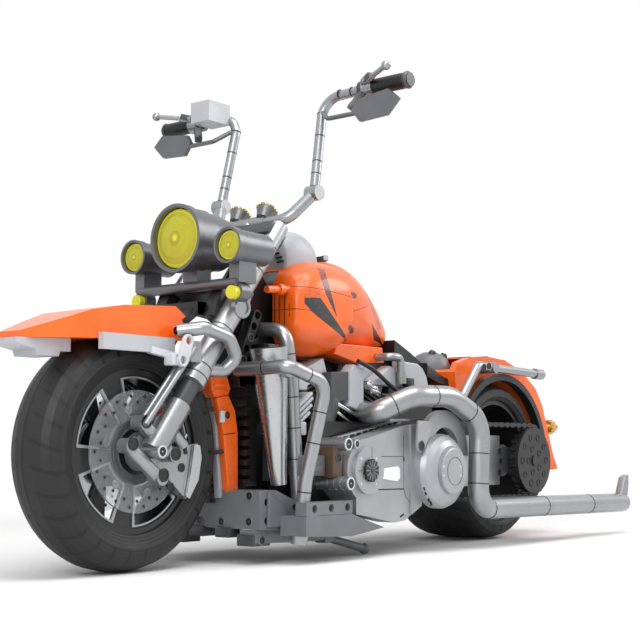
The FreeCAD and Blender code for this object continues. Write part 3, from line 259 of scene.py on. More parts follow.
# %% Floor finish
FLOOR_COLOUR = (0.9, 0.9, 0.9)
FADE_FROM, FADE_TO = 0.36, 0.62
floor_shop = Shop("floor_white")
ahead, aside, _ = floor_shop.axes()
far_out = (ahead * ahead + aside * aside).power(0.5).step(FADE_FROM, FADE_TO)
floor_path = floor_shop.tree.nodes.new("ShaderNodeLightPath")
seen_white = far_out * Wire(floor_shop, floor_path.outputs["Is Camera Ray"])
floor_shop.set(Base_Color=paint(FLOOR_COLOUR), Roughness=0.9)
white = floor_shop.node("ShaderNodeEmission", values={"Color": WHITE, "Strength": 1.0})
matt = Wire(floor_shop, floor_shop.surface.outputs[0])
faded = floor_shop.node("ShaderNodeMixShader", values={0: seen_white, 1: matt, 2: white})
floor_shop.join(floor_shop.tree.nodes["Material Output"].inputs["Surface"], faded)
floor.data.materials.append(floor_shop.material)
print("floor fades to white from", FADE_FROM, "to", FADE_TO, "m")

# %% [markdown]
# ## Finishes
# The real model is moulded in glossy orange and black plastic, and its bright parts are plastic
# under silver lacquer. Up close neither is flat: mould marks change the gloss from place to place,
# handling leaves hairline scratches, and lacquer has fine flake. Each finish below is one function,
# so that black, grey and orange share the same behaviour and differ in colour and gloss.

# %% Moulded plastic and lacquer
PATCH_SCALE = 55.0
SCRATCH_SCALE = 900.0
FLAKE_SCALE = 5200.0
PEEL_SCALE = 420.0
PATCH_SHADE, LACQUER_SHADE, CLEAR_SHADE = 0.88, 0.86, 0.9
PEEL_DEPTH, FLAKE_DEPTH, MOULD_DEPTH = 0.000012, 0.000008, 0.00002
COAT_ROUGHNESS = 0.08


def darker(colour, share):
    """The same colour with this share of its light."""
    return paint(channel * share for channel in colour)


def scratches(shop):
    """Hairlines: thin stretched noise, 1 on a scratch and 0 between."""
    stretch = shop.node("ShaderNodeMapping", values={"Vector": shop.place(), "Scale": (1.0, 0.12, 0.35)})
    return shop.noise(SCRATCH_SCALE, 1.0, 0.4, stretch).step(0.66, 0.74)


def moulded(name, colour, roughness, coat=0.0):
    """Moulded plastic: patchy gloss, a slight orange-peel surface and hairline scratches."""
    shop = Shop(name)
    patches = shop.noise(PATCH_SCALE, 3.0)
    shop.set(Base_Color=shop.blend(patches.step(0.35, 0.7), paint(colour), darker(colour, PATCH_SHADE)),
             Roughness=patches * 0.12 + (roughness - 0.06) + scratches(shop) * 0.08,
             Normal=shop.bump(shop.noise(PEEL_SCALE, 2.0) + scratches(shop) * -0.6, PEEL_DEPTH),
             Coat_Weight=coat, Coat_Roughness=COAT_ROUGHNESS)
    return shop


def lacquered(name, colour, roughness, metallic=0.9):
    """Silver lacquer on plastic: metallic, with fine flake and a slightly worn gloss."""
    shop = Shop(name)
    patches = shop.noise(PATCH_SCALE, 3.0)
    flake = shop.noise(FLAKE_SCALE, 1.0)
    tone = patches.step(0.3, 0.72) * 0.7 + flake * 0.3
    shop.set(Base_Color=shop.blend(tone, paint(colour), darker(colour, LACQUER_SHADE)),
             Roughness=patches * 0.14 + (roughness - 0.07) + scratches(shop) * 0.1,
             Normal=shop.bump(flake * 0.6 + scratches(shop) * -0.7, FLAKE_DEPTH), Metallic=metallic)
    return shop


ORANGE = (0.96, 0.142, 0.010)
BLACK = (0.0105, 0.0105, 0.0115)
DARK_GREY = (0.055, 0.057, 0.062)
MID_GREY = (0.155, 0.158, 0.168)
LIGHT_GREY = (0.46, 0.47, 0.5)
SILVER = (0.36, 0.365, 0.378)
DULL_SILVER = (0.18, 0.183, 0.193)
CASE_SILVER = (0.40, 0.405, 0.42)

FINISHES = {
    "orange": moulded("orange_plastic", ORANGE, 0.3, coat=0.2),
    "black": moulded("black_plastic", BLACK, 0.34),
    "dark_grey": moulded("dark_grey_plastic", DARK_GREY, 0.38),
    "mid_grey": moulded("mid_grey_plastic", MID_GREY, 0.4),
    "light_grey": moulded("light_grey_plastic", LIGHT_GREY, 0.38),
    "brown_pin": moulded("brown_pin_plastic", (0.10, 0.058, 0.035), 0.42),
    "red": moulded("red_plastic", (0.55, 0.012, 0.01), 0.35),
    "blue": moulded("blue_plastic", (0.015, 0.05, 0.28), 0.35),
    "silver": lacquered("silver_lacquer", SILVER, 0.3, metallic=0.8),
    "leg_silver": lacquered("leg_silver_lacquer", (0.47, 0.475, 0.49), 0.3, metallic=0.8),
    "dull_silver": lacquered("dull_silver_lacquer", DULL_SILVER, 0.37, metallic=0.72),
    "case_silver": lacquered("case_silver_lacquer", CASE_SILVER, 0.4, metallic=0.5),
    "dark_silver": lacquered("dark_silver_lacquer", (0.17, 0.174, 0.184), 0.38, metallic=0.7),
    "bright_silver": lacquered("bright_silver_lacquer", (0.5, 0.505, 0.52), 0.26, metallic=0.95),
    "gold": lacquered("gold_lacquer", (0.62, 0.44, 0.13), 0.3),
}


def see_through(name, colour, roughness, transmission):
    """Clear moulded plastic, with a faint unevenness from the mould."""
    shop = Shop(name)
    patches = shop.noise(PATCH_SCALE, 2.0).step(0.35, 0.7)
    shop.set(Base_Color=shop.blend(patches, paint(colour), darker(colour, CLEAR_SHADE)),
             Roughness=shop.noise(160.0, 2.0) * 0.1 + roughness,
             Normal=shop.bump(shop.noise(300.0, 2.0), MOULD_DEPTH), Transmission_Weight=transmission, IOR=1.35)
    return shop


FINISHES["clear"] = see_through("clear_plastic", (0.93, 0.95, 0.97), 0.04, 0.9)
print("finishes", len(FINISHES))

# %% [markdown]
# ## Rubber
# The tyres are soft black rubber with a road tread: long curved grooves that start near the middle
# and sweep to the shoulder. Grooves this shallow are cheaper and cleaner as a bump that follows the
# wheel: one angle round the axle and one distance from the middle plane place every groove.

# %% Tyre rubber
GROOVE_COUNT = 30
GROOVE_DEPTH = 0.0011
GROOVE_SWEEP = 0.9
GROOVES_FROM = 0.16
SHOULDER = (0.80, 0.86)
WALL_RING_PITCH = 1.9 * MM
TURNS_ADDED = 64.0
RUBBER_BLACK = (0.012, 0.012, 0.0125)
GROOVE_PAINTED_SHADE = (0.004, 0.004, 0.004)


def rubber(name, hub_x, radius, bead, half_width):
    """Grooves, a middle groove and wall rings, from the angle and the distance round the axle, with painted
    shade in them.
    """
    shop = Shop(name)
    x, y, z = shop.axes()
    across, up = x - at(hub_x, 0, 0).x, z - radius * MM
    angle = up.angle_with(across) * (GROOVE_COUNT / (2 * math.pi))
    away = (across * across + up * up).power(0.5)
    side = y.size() * (1.0 / (half_width * MM))
    shoulder = away.step(*[(radius * share) * MM for share in SHOULDER])
    sweep = angle + side.power(1.7) * GROOVE_SWEEP
    # Whole turns are added, so that the fraction is taken of a positive number all the way round.
    turn = shop.node("ShaderNodeMath", {"operation": "FRACT"}, {0: sweep + TURNS_ADDED})
    groove = (turn - 0.5).size().below(side * 0.07 + 0.05) * side.above(GROOVES_FROM) * shoulder
    centre = 1.0 - y.size().step(0.0006, 0.0011)
    rings = (away * (2 * math.pi / WALL_RING_PITCH)).sine() * 0.5 + 0.5
    wall_rings = rings.step(0.6, 0.9) * (1.0 - shoulder) * away.above(bead * MM)
    depth = groove + centre * shoulder + wall_rings * 0.18
    fine = shop.noise(1500.0, 2.0)
    # Painted shade: the grooves, the middle groove and the wall rings are painted darker than the rubber.
    shop.set(Base_Color=shop.blend(depth.at_most(1.0), paint(RUBBER_BLACK), paint(GROOVE_PAINTED_SHADE)),
             Roughness=shop.noise(70.0, 3.0) * 0.14 + 0.44,
             Normal=shop.bump(depth * -1.0 + fine * 0.02, GROOVE_DEPTH), Specular_IOR_Level=0.4)
    return shop


FINISHES["front_rubber"] = rubber("front_rubber", FRONT_X, FRONT_RADIUS, 46.5, 27.0)
FINISHES["rear_rubber"] = rubber("rear_rubber", REAR_X, REAR_RADIUS, 40.0, 29.0)
print("groove depth", GROOVE_DEPTH * 1000, "mm")

# %% [markdown]
# ## Lamp lenses
# The lenses are clear yellow with moulded rings and ribs, with a painted highlight in the middle, where the
# bulb would be, and on the rim. Rings and ribs come from the distance round each lens's own centre.

# %% Lenses
HEADLAMP_AT = (0.0, 195.0)
SPOT_AT = (40.0, 187.4)


def lens(name, centre_y, centre_z, radius, rings, both_sides=False):
    """Yellow lens: a painted highlight in the middle, a dark ring round it, fine rings, and a painted highlight
    on the rim.
    """
    shop = Shop(name)
    _, y, z = shop.axes()
    across = (y.size() if both_sides else y) - centre_y * MM
    up = z - centre_z * MM
    away = (across * across + up * up).power(0.5) * (1.0 / (radius * MM))
    fine = (away * (2 * math.pi * rings)).sine() * 0.5 + 0.5
    clouds = shop.noise(230.0, 3.0).step(0.35, 0.7)
    colour = shop.blend(fine * 0.08 + clouds * 0.25, paint((0.56, 0.54, 0.035)), paint((0.40, 0.38, 0.02)))
    colour = shop.blend(away.near(0.2, 0.025, 0.05) * 0.4, colour, paint((0.25, 0.23, 0.015)))
    # Painted highlights: the middle and the rim are painted a bright yellow.
    colour = shop.blend((1.0 - away.step(0.07, 0.13)) * 0.8 + away.step(0.86, 0.92) * 0.75, colour,
                        paint((0.90, 0.86, 0.04)))
    shop.set(Base_Color=colour, Roughness=fine * 0.05 + 0.14, Normal=shop.bump(fine, 0.00003),
             Transmission_Weight=0.15, IOR=1.4)
    return shop


FINISHES["head_lens"] = lens("head_lens", *HEADLAMP_AT, 17.9, 9)
FINISHES["spot_lens"] = lens("spot_lens", *SPOT_AT, 8.6, 6, both_sides=True)
print("lenses", len(FINISHES))

# %% [markdown]
# ## The tank's stickers and seams
# Two black wedge stickers run down each side of the real tank, and their tops are made to look
# worn, like old racing paint. A sticker has no thickness to speak of, so it is painted as a mask on
# the tank's own material. The mask looks at the tank a little from the front, where the sticker
# wraps round the shoulder, and both sides share it because it reads the distance from the middle.
# The fine dark lines are the joints between the orange shells; they, the small holes, a nick and the grooves
# between the front ribs are painted a shaded orange, as painted shade.

# %% Tank finish
BIG_STRIPE = [(-8.6, 160.0), (-3.2, 154.2), (6.3, 147.6), (17.6, 140.2), (18.8, 141.2), (1.6, 164.4),
              (-8.6, 163.6)]
THIN_STRIPE = [(4.8, 167.4), (11.8, 153.6), (12.2, 154.4), (8.6, 168.0), (4.2, 185.0), (-0.9, 185.6)]
SPECKLES = [(-8.6, 163.0), (2.4, 164.0), (-1.0, 180.5), (-8.2, 181.0)]
REAR_STRIPE = [(41.5, 151.0), (44.5, 152.5), (34.0, 176.5), (31.0, 177.5)]
TANK_HOLES = [(23.7, 170.2, 1.9), (21.7, 147.3, 1.9)]
TANK_NICK = [(36.7, 154.2), (38.4, 143.6), (46.0, 141.4), (42.0, 147.0)]
STICKER = (0.028, 0.030, 0.032)
# The tank orange in shade: painted shade for the joints, holes, nick and rib grooves.
SUNK_PAINTED_SHADE = (0.10, 0.012, 0.002)
SEAM_LINE = (0.10, 0.16)
VIEW_SIDE, VIEW_FRONT = 0.779, 0.627
RIB_PITCH = 4.2


def tank_finish():
    """Orange plastic under worn stripes, with painted shade in the shell joints, the small holes and between
    the ribs of the front face.
    """
    shop = moulded("tank_orange", ORANGE, 0.3, coat=0.2)
    x, y, z = [axis * 1000.0 for axis in shop.axes()]
    x = x - ORIGIN_SHIFT
    side = y.size() * VIEW_SIDE - x * VIEW_FRONT
    grain = shop.noise(1900.0, 4.0, 0.62)
    blotch = shop.noise(420.0, 3.0, 0.6)
    worn = shop.inside(BIG_STRIPE, side, z) * (grain + blotch * 0.5).above(0.57)
    worn = worn.at_least(shop.inside(THIN_STRIPE, side, z) * (grain - z * 0.004 + 0.72).above(0.46))
    speck = shop.noise(5200.0, 2.0, 0.6)
    dots = shop.inside(SPECKLES, side, z, 0.6) * (speck + blotch * 0.5 - (z - 164.0) * 0.012).above(0.80)
    rear = shop.inside(REAR_STRIPE, side, z) * grain.above(0.5) * 0.8
    seams = (z - x * 0.069).near(167.0, *SEAM_LINE) * x.above(7.0)
    seams = seams.at_least((z - x * 0.09).near(150.9, *SEAM_LINE) * x.above(49.0))
    seams = seams.at_least((z + x * 0.25).near(160.0, *SEAM_LINE) * x.between(-22.0, 2.0, 0.2))
    holes = None
    for centre, height, radius in TANK_HOLES:
        away = ((side - centre) * (side - centre) + (z - height) * (z - height)).power(0.5)
        hole = (1.0 - away.step(radius, radius + 0.3)) * x.above(-60.0)
        holes = hole if holes is None else holes.at_least(hole)
    seams = seams.at_least(holes).at_least(shop.inside(TANK_NICK, side, z))
    ribs = (y * (2 * math.pi / RIB_PITCH)).sine().above(0.82) * (x.above(61.2) * y.size().above(13.0))
    marks = worn.at_least(dots).at_least(rear)
    base = shop.surface.inputs["Base Color"].links[0].from_socket
    base = shop.blend(marks, Wire(shop, base), paint(STICKER))
    sunk = seams.at_least(ribs)
    # Painted shade: joints, holes, the nick and the grooves between the ribs are painted a shaded orange.
    shop.set(Base_Color=shop.blend(sunk, base, paint(SUNK_PAINTED_SHADE)))
    old = shop.surface.inputs["Normal"].links[0].from_socket
    shop.set(Normal=shop.bump(sunk * -1.0 + marks * 0.1, 0.0003, Normal=Wire(shop, old)))
    return shop


FINISHES["tank"] = tank_finish()
print("tank holes", len(TANK_HOLES), "corners of the big stripe", len(BIG_STRIPE))

# %% [markdown]
# ## Paint the frame
# Every CAD node gets the finish of the real part it stands for. Most keep their shape, and some give
# way to fuller forms further down.

# %% Paint the CAD nodes
NODE_FINISH = {
    "front_rubber": ["front_tyre"], "rear_rubber": ["rear_tyre"],
    "black": ["front_rim", "rear_rim", "sprocket", "grips", "frame", "fender_liner", "front_beam", "radiator",
              "tank_cap", "engine_block", "seat", "chain", "primary_gear", "cylinders"],
    "clear": ["front_disc"],
    "silver": ["fork_tubes", "fork_struts", "fork_loop", "handlebar", "levers", "fender_struts", "swingarm",
               "pipes", "crash_bars", "foot_pegs", "intake_pipe", "exhaust", "rim_frames", "front_axle"],
    "bright_silver": ["shields"],
    "dull_silver": ["headlamp_shell", "spot_shells", "lamp_bar", "gauges"],
    "case_silver": ["primary_cover", "clutch_plate", "dome_arch", "clutch_dome"],
    "dark_silver": ["mirrors"],
    "orange": ["front_fender", "rear_fender", "down_tube"], "tank": ["tank"],
    "light_grey": ["fender_plate", "reservoir", "head_housing", "front_strips", "rocker_covers",
                   "engine_covers"],
    "mid_grey": ["seat_pad", "footboards", "lower_panels", "side_stand", "stand_mount"],
    "dark_grey": ["fork_sliders"],
    "gold": ["tail_light"],
    "head_lens": ["headlamp_lens"], "spot_lens": ["lamp_lenses"],
}


def cover(piece, finish):
    """One finish all over a piece."""
    piece.data.materials.clear()
    piece.data.materials.append(FINISHES[finish].material)


painted = [node for nodes in NODE_FINISH.values() for node in nodes]
for finish, nodes in NODE_FINISH.items():
    for node in nodes:
        cover(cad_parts[node], finish)
print("painted", len(painted), "of", len(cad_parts), sorted(set(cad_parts) - set(painted)))

# %% [markdown]
# ## Hand tools
# Most small parts of a building-beam model are turned, flat or tubular: pins and hubs, plates with
# holes, hoses. A turned part is a circle that is extruded and scaled step by step, as on a lathe. A
# plate is an outline with a thickness, a hose is a curve with a thickness, and a block has bevelled
# edges. One part is made once and copied to all its places, and a pin hole is a rim and a mouth.

# %% Selecting, placing and settling
def all_clear():
    if bpy.context.object is not None and bpy.context.object.mode != "OBJECT":
        bpy.ops.object.mode_set(mode="OBJECT")
    bpy.ops.object.select_all(action="DESELECT")


def picked(piece):
    """Selects this piece alone."""
    all_clear()
    piece.select_set(True)
    bpy.context.view_layer.objects.active = piece
    return piece


def whole_mesh():
    """Opens the active piece for editing, with all of it selected."""
    bpy.ops.object.mode_set(mode="EDIT")
    bpy.ops.mesh.select_all(action="SELECT")
    return bpy.context.object


def shown(name, data):
    """A new object of this mesh or curve, in the scene."""
    piece = bpy.data.objects.new(name, data)
    bpy.context.scene.collection.objects.link(piece)
    return piece


def facing(place, axis):
    """Stands a part made along Z at a place, with Z along the axis."""
    return Matrix.Translation(at(*place)) @ Vector(axis).to_track_quat("Z", "Y").to_matrix().to_4x4()


def settle(piece):
    """Puts the piece's place into its mesh."""
    picked(piece)
    bpy.ops.object.transform_apply(location=True, rotation=True, scale=True)
    return piece


def outward(piece):
    """Points every face outwards."""
    picked(piece)
    whole_mesh()
    bpy.ops.mesh.normals_make_consistent(inside=False)
    bpy.ops.object.mode_set(mode="OBJECT")
    return piece


# %% Turned parts and their copies
def circle(count, radius, first=0.0):
    """Places at even steps round a circle."""
    angles = [first + 2 * math.pi * index / count for index in range(count)]
    return [(radius * math.cos(angle), radius * math.sin(angle)) for angle in angles]


def turned(steps, sides):
    """A turned part along Z from its (radius, height) steps in millimetres."""
    all_clear()
    radius, height = steps[0]
    bpy.ops.mesh.primitive_circle_add(vertices=sides, radius=radius * MM, fill_type="NGON", location=(0, 0, 0))
    piece = whole_mesh()
    bpy.ops.transform.translate(value=(0, 0, height * MM))
    for next_radius, next_height in steps[1:]:
        bpy.ops.mesh.extrude_region_move(TRANSFORM_OT_translate={"value": (0, 0, (next_height - height) * MM)})
        grow = next_radius / radius
        bpy.ops.transform.resize(value=(grow, grow, 1), center_override=(0, 0, 0))
        radius, height = next_radius, next_height
    bpy.ops.object.mode_set(mode="OBJECT")
    return outward(piece)


def at_each(pattern, stands):
    """Copies a part to each of its stands and joins the copies."""
    twins = []
    for stand in stands:
        twin = shown(pattern.name, pattern.data.copy())
        twin.matrix_world = stand
        twins.append(twin)
    bpy.data.objects.remove(pattern)
    return joined(twins)


def joined(parts):
    """Joins parts into the first of them."""
    all_clear()
    for part in parts:
        part.select_set(True)
    bpy.context.view_layer.objects.active = parts[0]
    if len(parts) > 1:
        bpy.ops.object.join()
    return settle(parts[0])


# %% Plates, hoses and blocks
HOLE_SIDES = 16


def meshed(name, curve):
    """Turns a curve into a mesh."""
    picked(shown(name, curve))
    bpy.ops.object.convert(target="MESH")
    return bpy.context.object


def plate(outline, thickness, holes, edge):
    """A flat part in its own XY plane, with round holes (x, y, radius) and a rounded edge."""
    curve = bpy.data.curves.new("plate", "CURVE")
    curve.dimensions, curve.fill_mode = "2D", "BOTH"
    curve.extrude = (thickness / 2 - edge) * MM
    curve.bevel_depth, curve.bevel_resolution = edge * MM, 1
    curve.offset = -edge * MM
    rounds = [[(x + across, y + up) for across, up in circle(HOLE_SIDES, radius)] for x, y, radius in holes]
    for ring in [outline] + rounds:
        line = curve.splines.new("POLY")
        line.points.add(len(ring) - 1)
        for point, (x, y) in zip(line.points, ring):
            point.co = (x * MM, y * MM, 0, 1)
        line.use_cyclic_u = True
    return meshed("plate", curve)


def on_side(y):
    """Stands a plate upright: its X stays X, its Y becomes Z, and it faces the side."""
    return Matrix.Translation(at(0, y, 0)) @ Matrix.Rotation(math.radians(90), 4, "X")


def set_at(piece, stand):
    piece.matrix_world = stand
    return settle(piece)


def round_line(kind, points, radius, fineness):
    """A round curve with closed ends along these places, and its line."""
    curve = bpy.data.curves.new("tube", "CURVE")
    curve.dimensions, curve.bevel_depth, curve.bevel_resolution = "3D", radius * MM, fineness
    curve.use_fill_caps = True
    line = curve.splines.new(kind)
    line.points.add(len(points) - 1)
    for point, place in zip(line.points, points):
        point.co = (*at(*place), 1)
    return curve, line


def hose(points, radius):
    """A tube on a smooth line through the route's points."""
    curve, line = round_line("NURBS", points, radius, 3)
    line.order_u, line.use_endpoint_u, line.resolution_u = 3, True, 6
    return meshed("hose", curve)


def brick(size, edge):
    """A block with bevelled edges, centred where it is made."""
    all_clear()
    bpy.ops.mesh.primitive_cube_add(size=MM, location=(0, 0, 0))
    piece = whole_mesh()
    bpy.ops.transform.resize(value=size)
    bpy.ops.mesh.bevel(offset=edge * MM, segments=2)
    bpy.ops.object.mode_set(mode="OBJECT")
    return piece


# %% Slots, and the last step of every piece
SHARP_CREASE, CREASE, BUN_CREASE = 35, 40, 50
MADE = []


def finish_piece(piece, name, body, finish, crease=SHARP_CREASE):
    """Names a part, lets it ride on its body, and gives it its finish."""
    piece.name = name
    cover(piece, finish)
    picked(piece)
    bpy.ops.object.shade_smooth_by_angle(angle=math.radians(crease))
    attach(piece, body)
    MADE.append(piece)
    return piece


PIN_RIM = [(3.1, -0.3), (3.1, 0.25), (2.9, 0.4), (2.45, 0.4), (2.4, 0.12)]
PIN_CORE = [(2.42, -0.2), (2.42, 0.16), (0.4, 0.16), (0.35, 0.05)]
PIN_SIDES = 16


def pin_holes(name, body, stands, rim_finish, scale=1.0):
    """Rimmed pin holes: a raised lip round a mouth painted black as painted shade, one lip and one mouth for
    each stand.
    """
    rims, mouths = (at_each(turned([(radius * scale, height) for radius, height in steps], PIN_SIDES), stands)
                    for steps in (PIN_RIM, PIN_CORE))
    finish_piece(rims, name + "_rims", body, rim_finish)
    # The mouths are painted shade: a black disc where the hole is dark.
    finish_piece(mouths, name + "_mouths", body, "black_joint_and_hollow_shade")


# Darker than the black plastic: painted shade in pin-hole mouths, other holes, slots and dimples, and the
# colour of the dark joints and seams.
FINISHES["black_joint_and_hollow_shade"] = moulded("black_joint_and_hollow_shade_plastic", (0.004, 0.004, 0.0045), 0.5)
FINISHES["white_grey"] = moulded("white_grey_plastic", (0.62, 0.63, 0.66), 0.35)
FINISHES["white_window"] = moulded("white_window_plastic", (0.86, 0.87, 0.88), 0.25)
FINISHES["rubber_hose"] = moulded("hose_rubber", (0.012, 0.012, 0.0125), 0.5)

# %% [markdown]
# ## Tools for the larger forms
# The tank and the housing are smooth shells: a rounded face is stood up and extruded from station to
# station, each with its own width and height, and a subdivision smooths the steps. Bent pipes are
# curves whose corners are rounded by a tangent arc, as a pipe bender makes them. Mirrored pairs are
# joined into one mesh and their faces are pointed outwards again.

# %% Modifiers and shells
SHELL_LEVELS = 2


def applied(piece, kind, **settings):
    """Adds one modifier and applies it."""
    picked(piece)
    modifier = piece.modifiers.new(kind.lower(), kind)
    for key, value in settings.items():
        setattr(modifier, key, value)
    bpy.ops.object.modifier_apply(modifier=modifier.name)
    return piece


def cut_out(piece, cutter):
    """Cuts one form out of another and takes the cutter away."""
    applied(piece, "BOOLEAN", operation="DIFFERENCE", solver="EXACT", object=cutter)
    bpy.data.objects.remove(cutter)
    return piece


def shell(stations, rounding):
    """A smooth closed form through stations of (x, half width, lowest z, highest z)."""
    all_clear()
    bpy.ops.mesh.primitive_plane_add(size=2, location=(0, 0, 0))
    piece = whole_mesh()
    bpy.ops.mesh.bevel(affect="VERTICES", offset=rounding, segments=5)
    bpy.ops.transform.rotate(value=math.radians(90), orient_axis="Y", center_override=(0, 0, 0))
    bpy.ops.transform.resize(value=(1, MM, MM), center_override=(0, 0, 0))
    x, wide, low, high = stations[0]
    bpy.ops.transform.resize(value=(1, wide, (high - low) / 2), center_override=(0, 0, 0))
    bpy.ops.transform.translate(value=at(x, 0, (high + low) / 2))
    for next_x, next_wide, next_low, next_high in stations[1:]:
        step = (next_x - x, 0, (next_high + next_low - high - low) / 2)
        bpy.ops.mesh.extrude_region_move(TRANSFORM_OT_translate={"value": Vector(step) * MM})
        bpy.ops.transform.resize(value=(1, next_wide / wide, (next_high - next_low) / (high - low)),
                                 center_override=at(next_x, 0, (next_high + next_low) / 2))
        x, wide, low, high = next_x, next_wide, next_low, next_high
    bpy.ops.object.mode_set(mode="OBJECT")
    return applied(outward(piece), "SUBSURF", levels=SHELL_LEVELS, render_levels=SHELL_LEVELS)


# %% Bent tubes, rods, slabs and pairs
BEND_STEPS = 8
ROD_SIDES = 20


def bent(points, bends, radius):
    """A rigid tube through its corners, each rounded by its own bend radius."""
    places = [Vector(point) for point in points]
    line = [places[0]]
    for before, corner, after, bend in zip(places, places[1:], places[2:], bends):
        back, on = (before - corner).normalized(), (after - corner).normalized()
        half = back.angle(on) / 2
        middle = corner + (back + on).normalized() * (bend / math.sin(half))
        start, end = corner + back * (bend / math.tan(half)), corner + on * (bend / math.tan(half))
        sweep = (start - middle).angle(end - middle)
        for step in range(BEND_STEPS + 1):
            share = step / BEND_STEPS
            line.append(middle + ((start - middle) * math.sin((1 - share) * sweep)
                                  + (end - middle) * math.sin(share * sweep)) / math.sin(sweep))
    line.append(places[-1])
    return meshed("tube", round_line("POLY", line, radius, 5)[0])


def rod(start, end, radii):
    """A straight round part whose radii follow each other at even steps from start to end."""
    way = Vector(end) - Vector(start)
    steps = [(radius, way.length * step / (len(radii) - 1)) for step, radius in enumerate(radii)]
    return set_at(turned(steps, ROD_SIDES), facing(start, way))


def slab(outline, low, high, edge=0.4, holes=()):
    """An upright plate between two distances from the middle, its outline drawn as seen from the side."""
    return set_at(plate(outline, high - low, holes, edge), on_side((low + high) / 2))


def pair(piece):
    """The same part on both sides, as one mesh."""
    twin = shown(piece.name, piece.data.copy())
    twin.matrix_world = Matrix.Scale(-1, 4, (0, 1, 0)) @ piece.matrix_world
    return outward(joined([piece, twin]))


def both_sides(parts, name, body, finish, crease=CREASE):
    """Joins parts made on the left, mirrors them to the right, and finishes all as one piece."""
    return finish_piece(pair(joined(parts)), name, body, finish, crease)


def stand_in(piece, *nodes):
    """The piece takes the place of these CAD nodes in the picture."""
    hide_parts(*nodes)
    return piece


print("shell levels", SHELL_LEVELS, "steps in a bend", BEND_STEPS, "sides of a rod", ROD_SIDES)

# %% [markdown]
# ## Tank and steering-head housing
# The real tank is built from smooth orange shells: two wide ones in front with a gap between them for
# the backbone, and a narrower one that slopes down to the seat. The CAD tank has the same reach in
# plainer facets, so these shells take its place.

# %% Tank shells
FRONT_SHELL = [(61.5, 29.0, 140.0, 172.0), (60.6, 31.0, 138.0, 174.5), (57.0, 34.6, 132.5, 182.0),
               (46.0, 37.6, 128.0, 189.0), (30.0, 38.2, 126.5, 192.3), (16.0, 37.6, 129.3, 192.3),
               (8.6, 36.8, 133.0, 191.0), (7.4, 36.2, 134.0, 190.2)]
BACK_SHELL = [(10.0, 31.6, 137.0, 193.8), (8.8, 32.4, 136.0, 194.9), (-6.0, 31.0, 133.2, 195.2),
              (-24.0, 26.2, 133.4, 187.4), (-42.0, 19.8, 135.0, 175.3), (-55.0, 14.8, 137.0, 164.2),
              (-61.4, 12.2, 139.0, 157.4), (-62.0, 11.4, 140.0, 156.6)]
WEDGE = [(14, 131), (10, 138), (-40, 138), (-42, 127.5), (-10, 126)]
front_shell = shell(FRONT_SHELL, 0.72)
gap = set_at(brick((60, 24, 82), 1.0), Matrix.Translation(at(61, 0, 142)))
front_shell = applied(cut_out(front_shell, gap), "BEVEL", width=0.5 * MM, segments=2, limit_method="ANGLE",
                      angle_limit=math.radians(SHARP_CREASE))
back_shell = shell(BACK_SHELL, 0.86)
wedge = slab(WEDGE, -24.8, 24.8, 0.6)
tank = joined([front_shell, back_shell, wedge])
stand_in(finish_piece(tank, "tank_shells", "frame", "tank", CREASE), "tank")
print("tank", len(tank.data.polygons), "faces")

# %% Steering-head housing
HOUSING = [(13.5, 8.0, 180.0, 196.0), (14.5, 10.0, 177.0, 199.5), (18.0, 14.2, 171.8, 205.0),
           (24.0, 16.8, 170.0, 209.6), (34.0, 17.6, 170.0, 212.2), (44.0, 17.2, 172.0, 210.6),
           (50.8, 15.6, 175.5, 205.0), (52.0, 14.6, 177.0, 203.0)]
housing = finish_piece(shell(HOUSING, 0.8), "head_cover", "frame", "light_grey", CREASE)
stand_in(housing, "head_housing")
print("housing", len(housing.data.polygons), "faces")

# %% [markdown]
# ## Bent tubes
# The exhaust, the crash bars and the pipes in front of the engine are built from silver tube lengths
# with fine dark seams. They are drawn along the real ones' bends, a little thicker than in the plain CAD
# model, and the seams are thin black rings that stand a hair proud.

# %% Exhaust, crash bars and front pipes
EXHAUST_PATH = [(-12, 26, 94), (1, 47, 91), (-20, 64.5, 103.2), (-54, 70.5, 103.6), (-89, 72.5, 88),
                (-84, 73, 27.6), (-305.5, 73, 24.5)]
EXHAUST_RADIUS = 7.4
EXHAUST_FIN = [(-298, 30), (-306, 45), (-312.5, 46.8), (-312.5, 40), (-309, 26), (-309, 18), (-304, 18),
               (-304, 26)]
exhaust = joined([bent(EXHAUST_PATH, [9, 24, 36, 20, 14], EXHAUST_RADIUS), slab(EXHAUST_FIN, 70, 76, 0.5)])
stand_in(finish_piece(exhaust, "exhaust_pipe", "frame", "silver", CREASE), "exhaust")

CRASH_PATH = [(104, 20.5, 116.5), (103, 61, 117), (73, 65, 108), (80, 55, 50), (82.5, 51.5, 14)]
CRASH_RADIUS = 4.3
crash = [bent(CRASH_PATH, [6, 11, 60], CRASH_RADIUS), rod((104, 33, 116.7), (94, 33, 117), [2.5, 2.5]),
         rod((81.6, 52.8, 26), (82.5, 51.5, 12), [5.0, 5.5, 5.5, 5.0])]
stand_in(both_sides(crash, "crash_tubes", "frame", "silver"), "crash_bars")

PIPE_PATH = [(74, 6.6, 144), (73, 33, 142), (69, 34, 112), (62.5, 34.5, 35.8)]
PIPE_RADIUS = 4.4
stand_in(both_sides([bent(PIPE_PATH, [10, 30], PIPE_RADIUS)], "front_tubes", "frame", "silver"), "pipes")
print("tubes", len(MADE), "pieces so far")

# %% Seams of the tubes
SEAM_SUNK, SEAM_PROUD, SEAM_SIDES = 0.3, 0.07, 28


def seam(place, along, radius, width=0.35):
    """A thin black ring round a tube, where two of its lengths meet."""
    inner, outer = radius - SEAM_SUNK, radius + SEAM_PROUD
    steps = [(inner, -width), (outer, -width), (outer, width), (inner, width)]
    return set_at(turned(steps, SEAM_SIDES), facing(place, along))


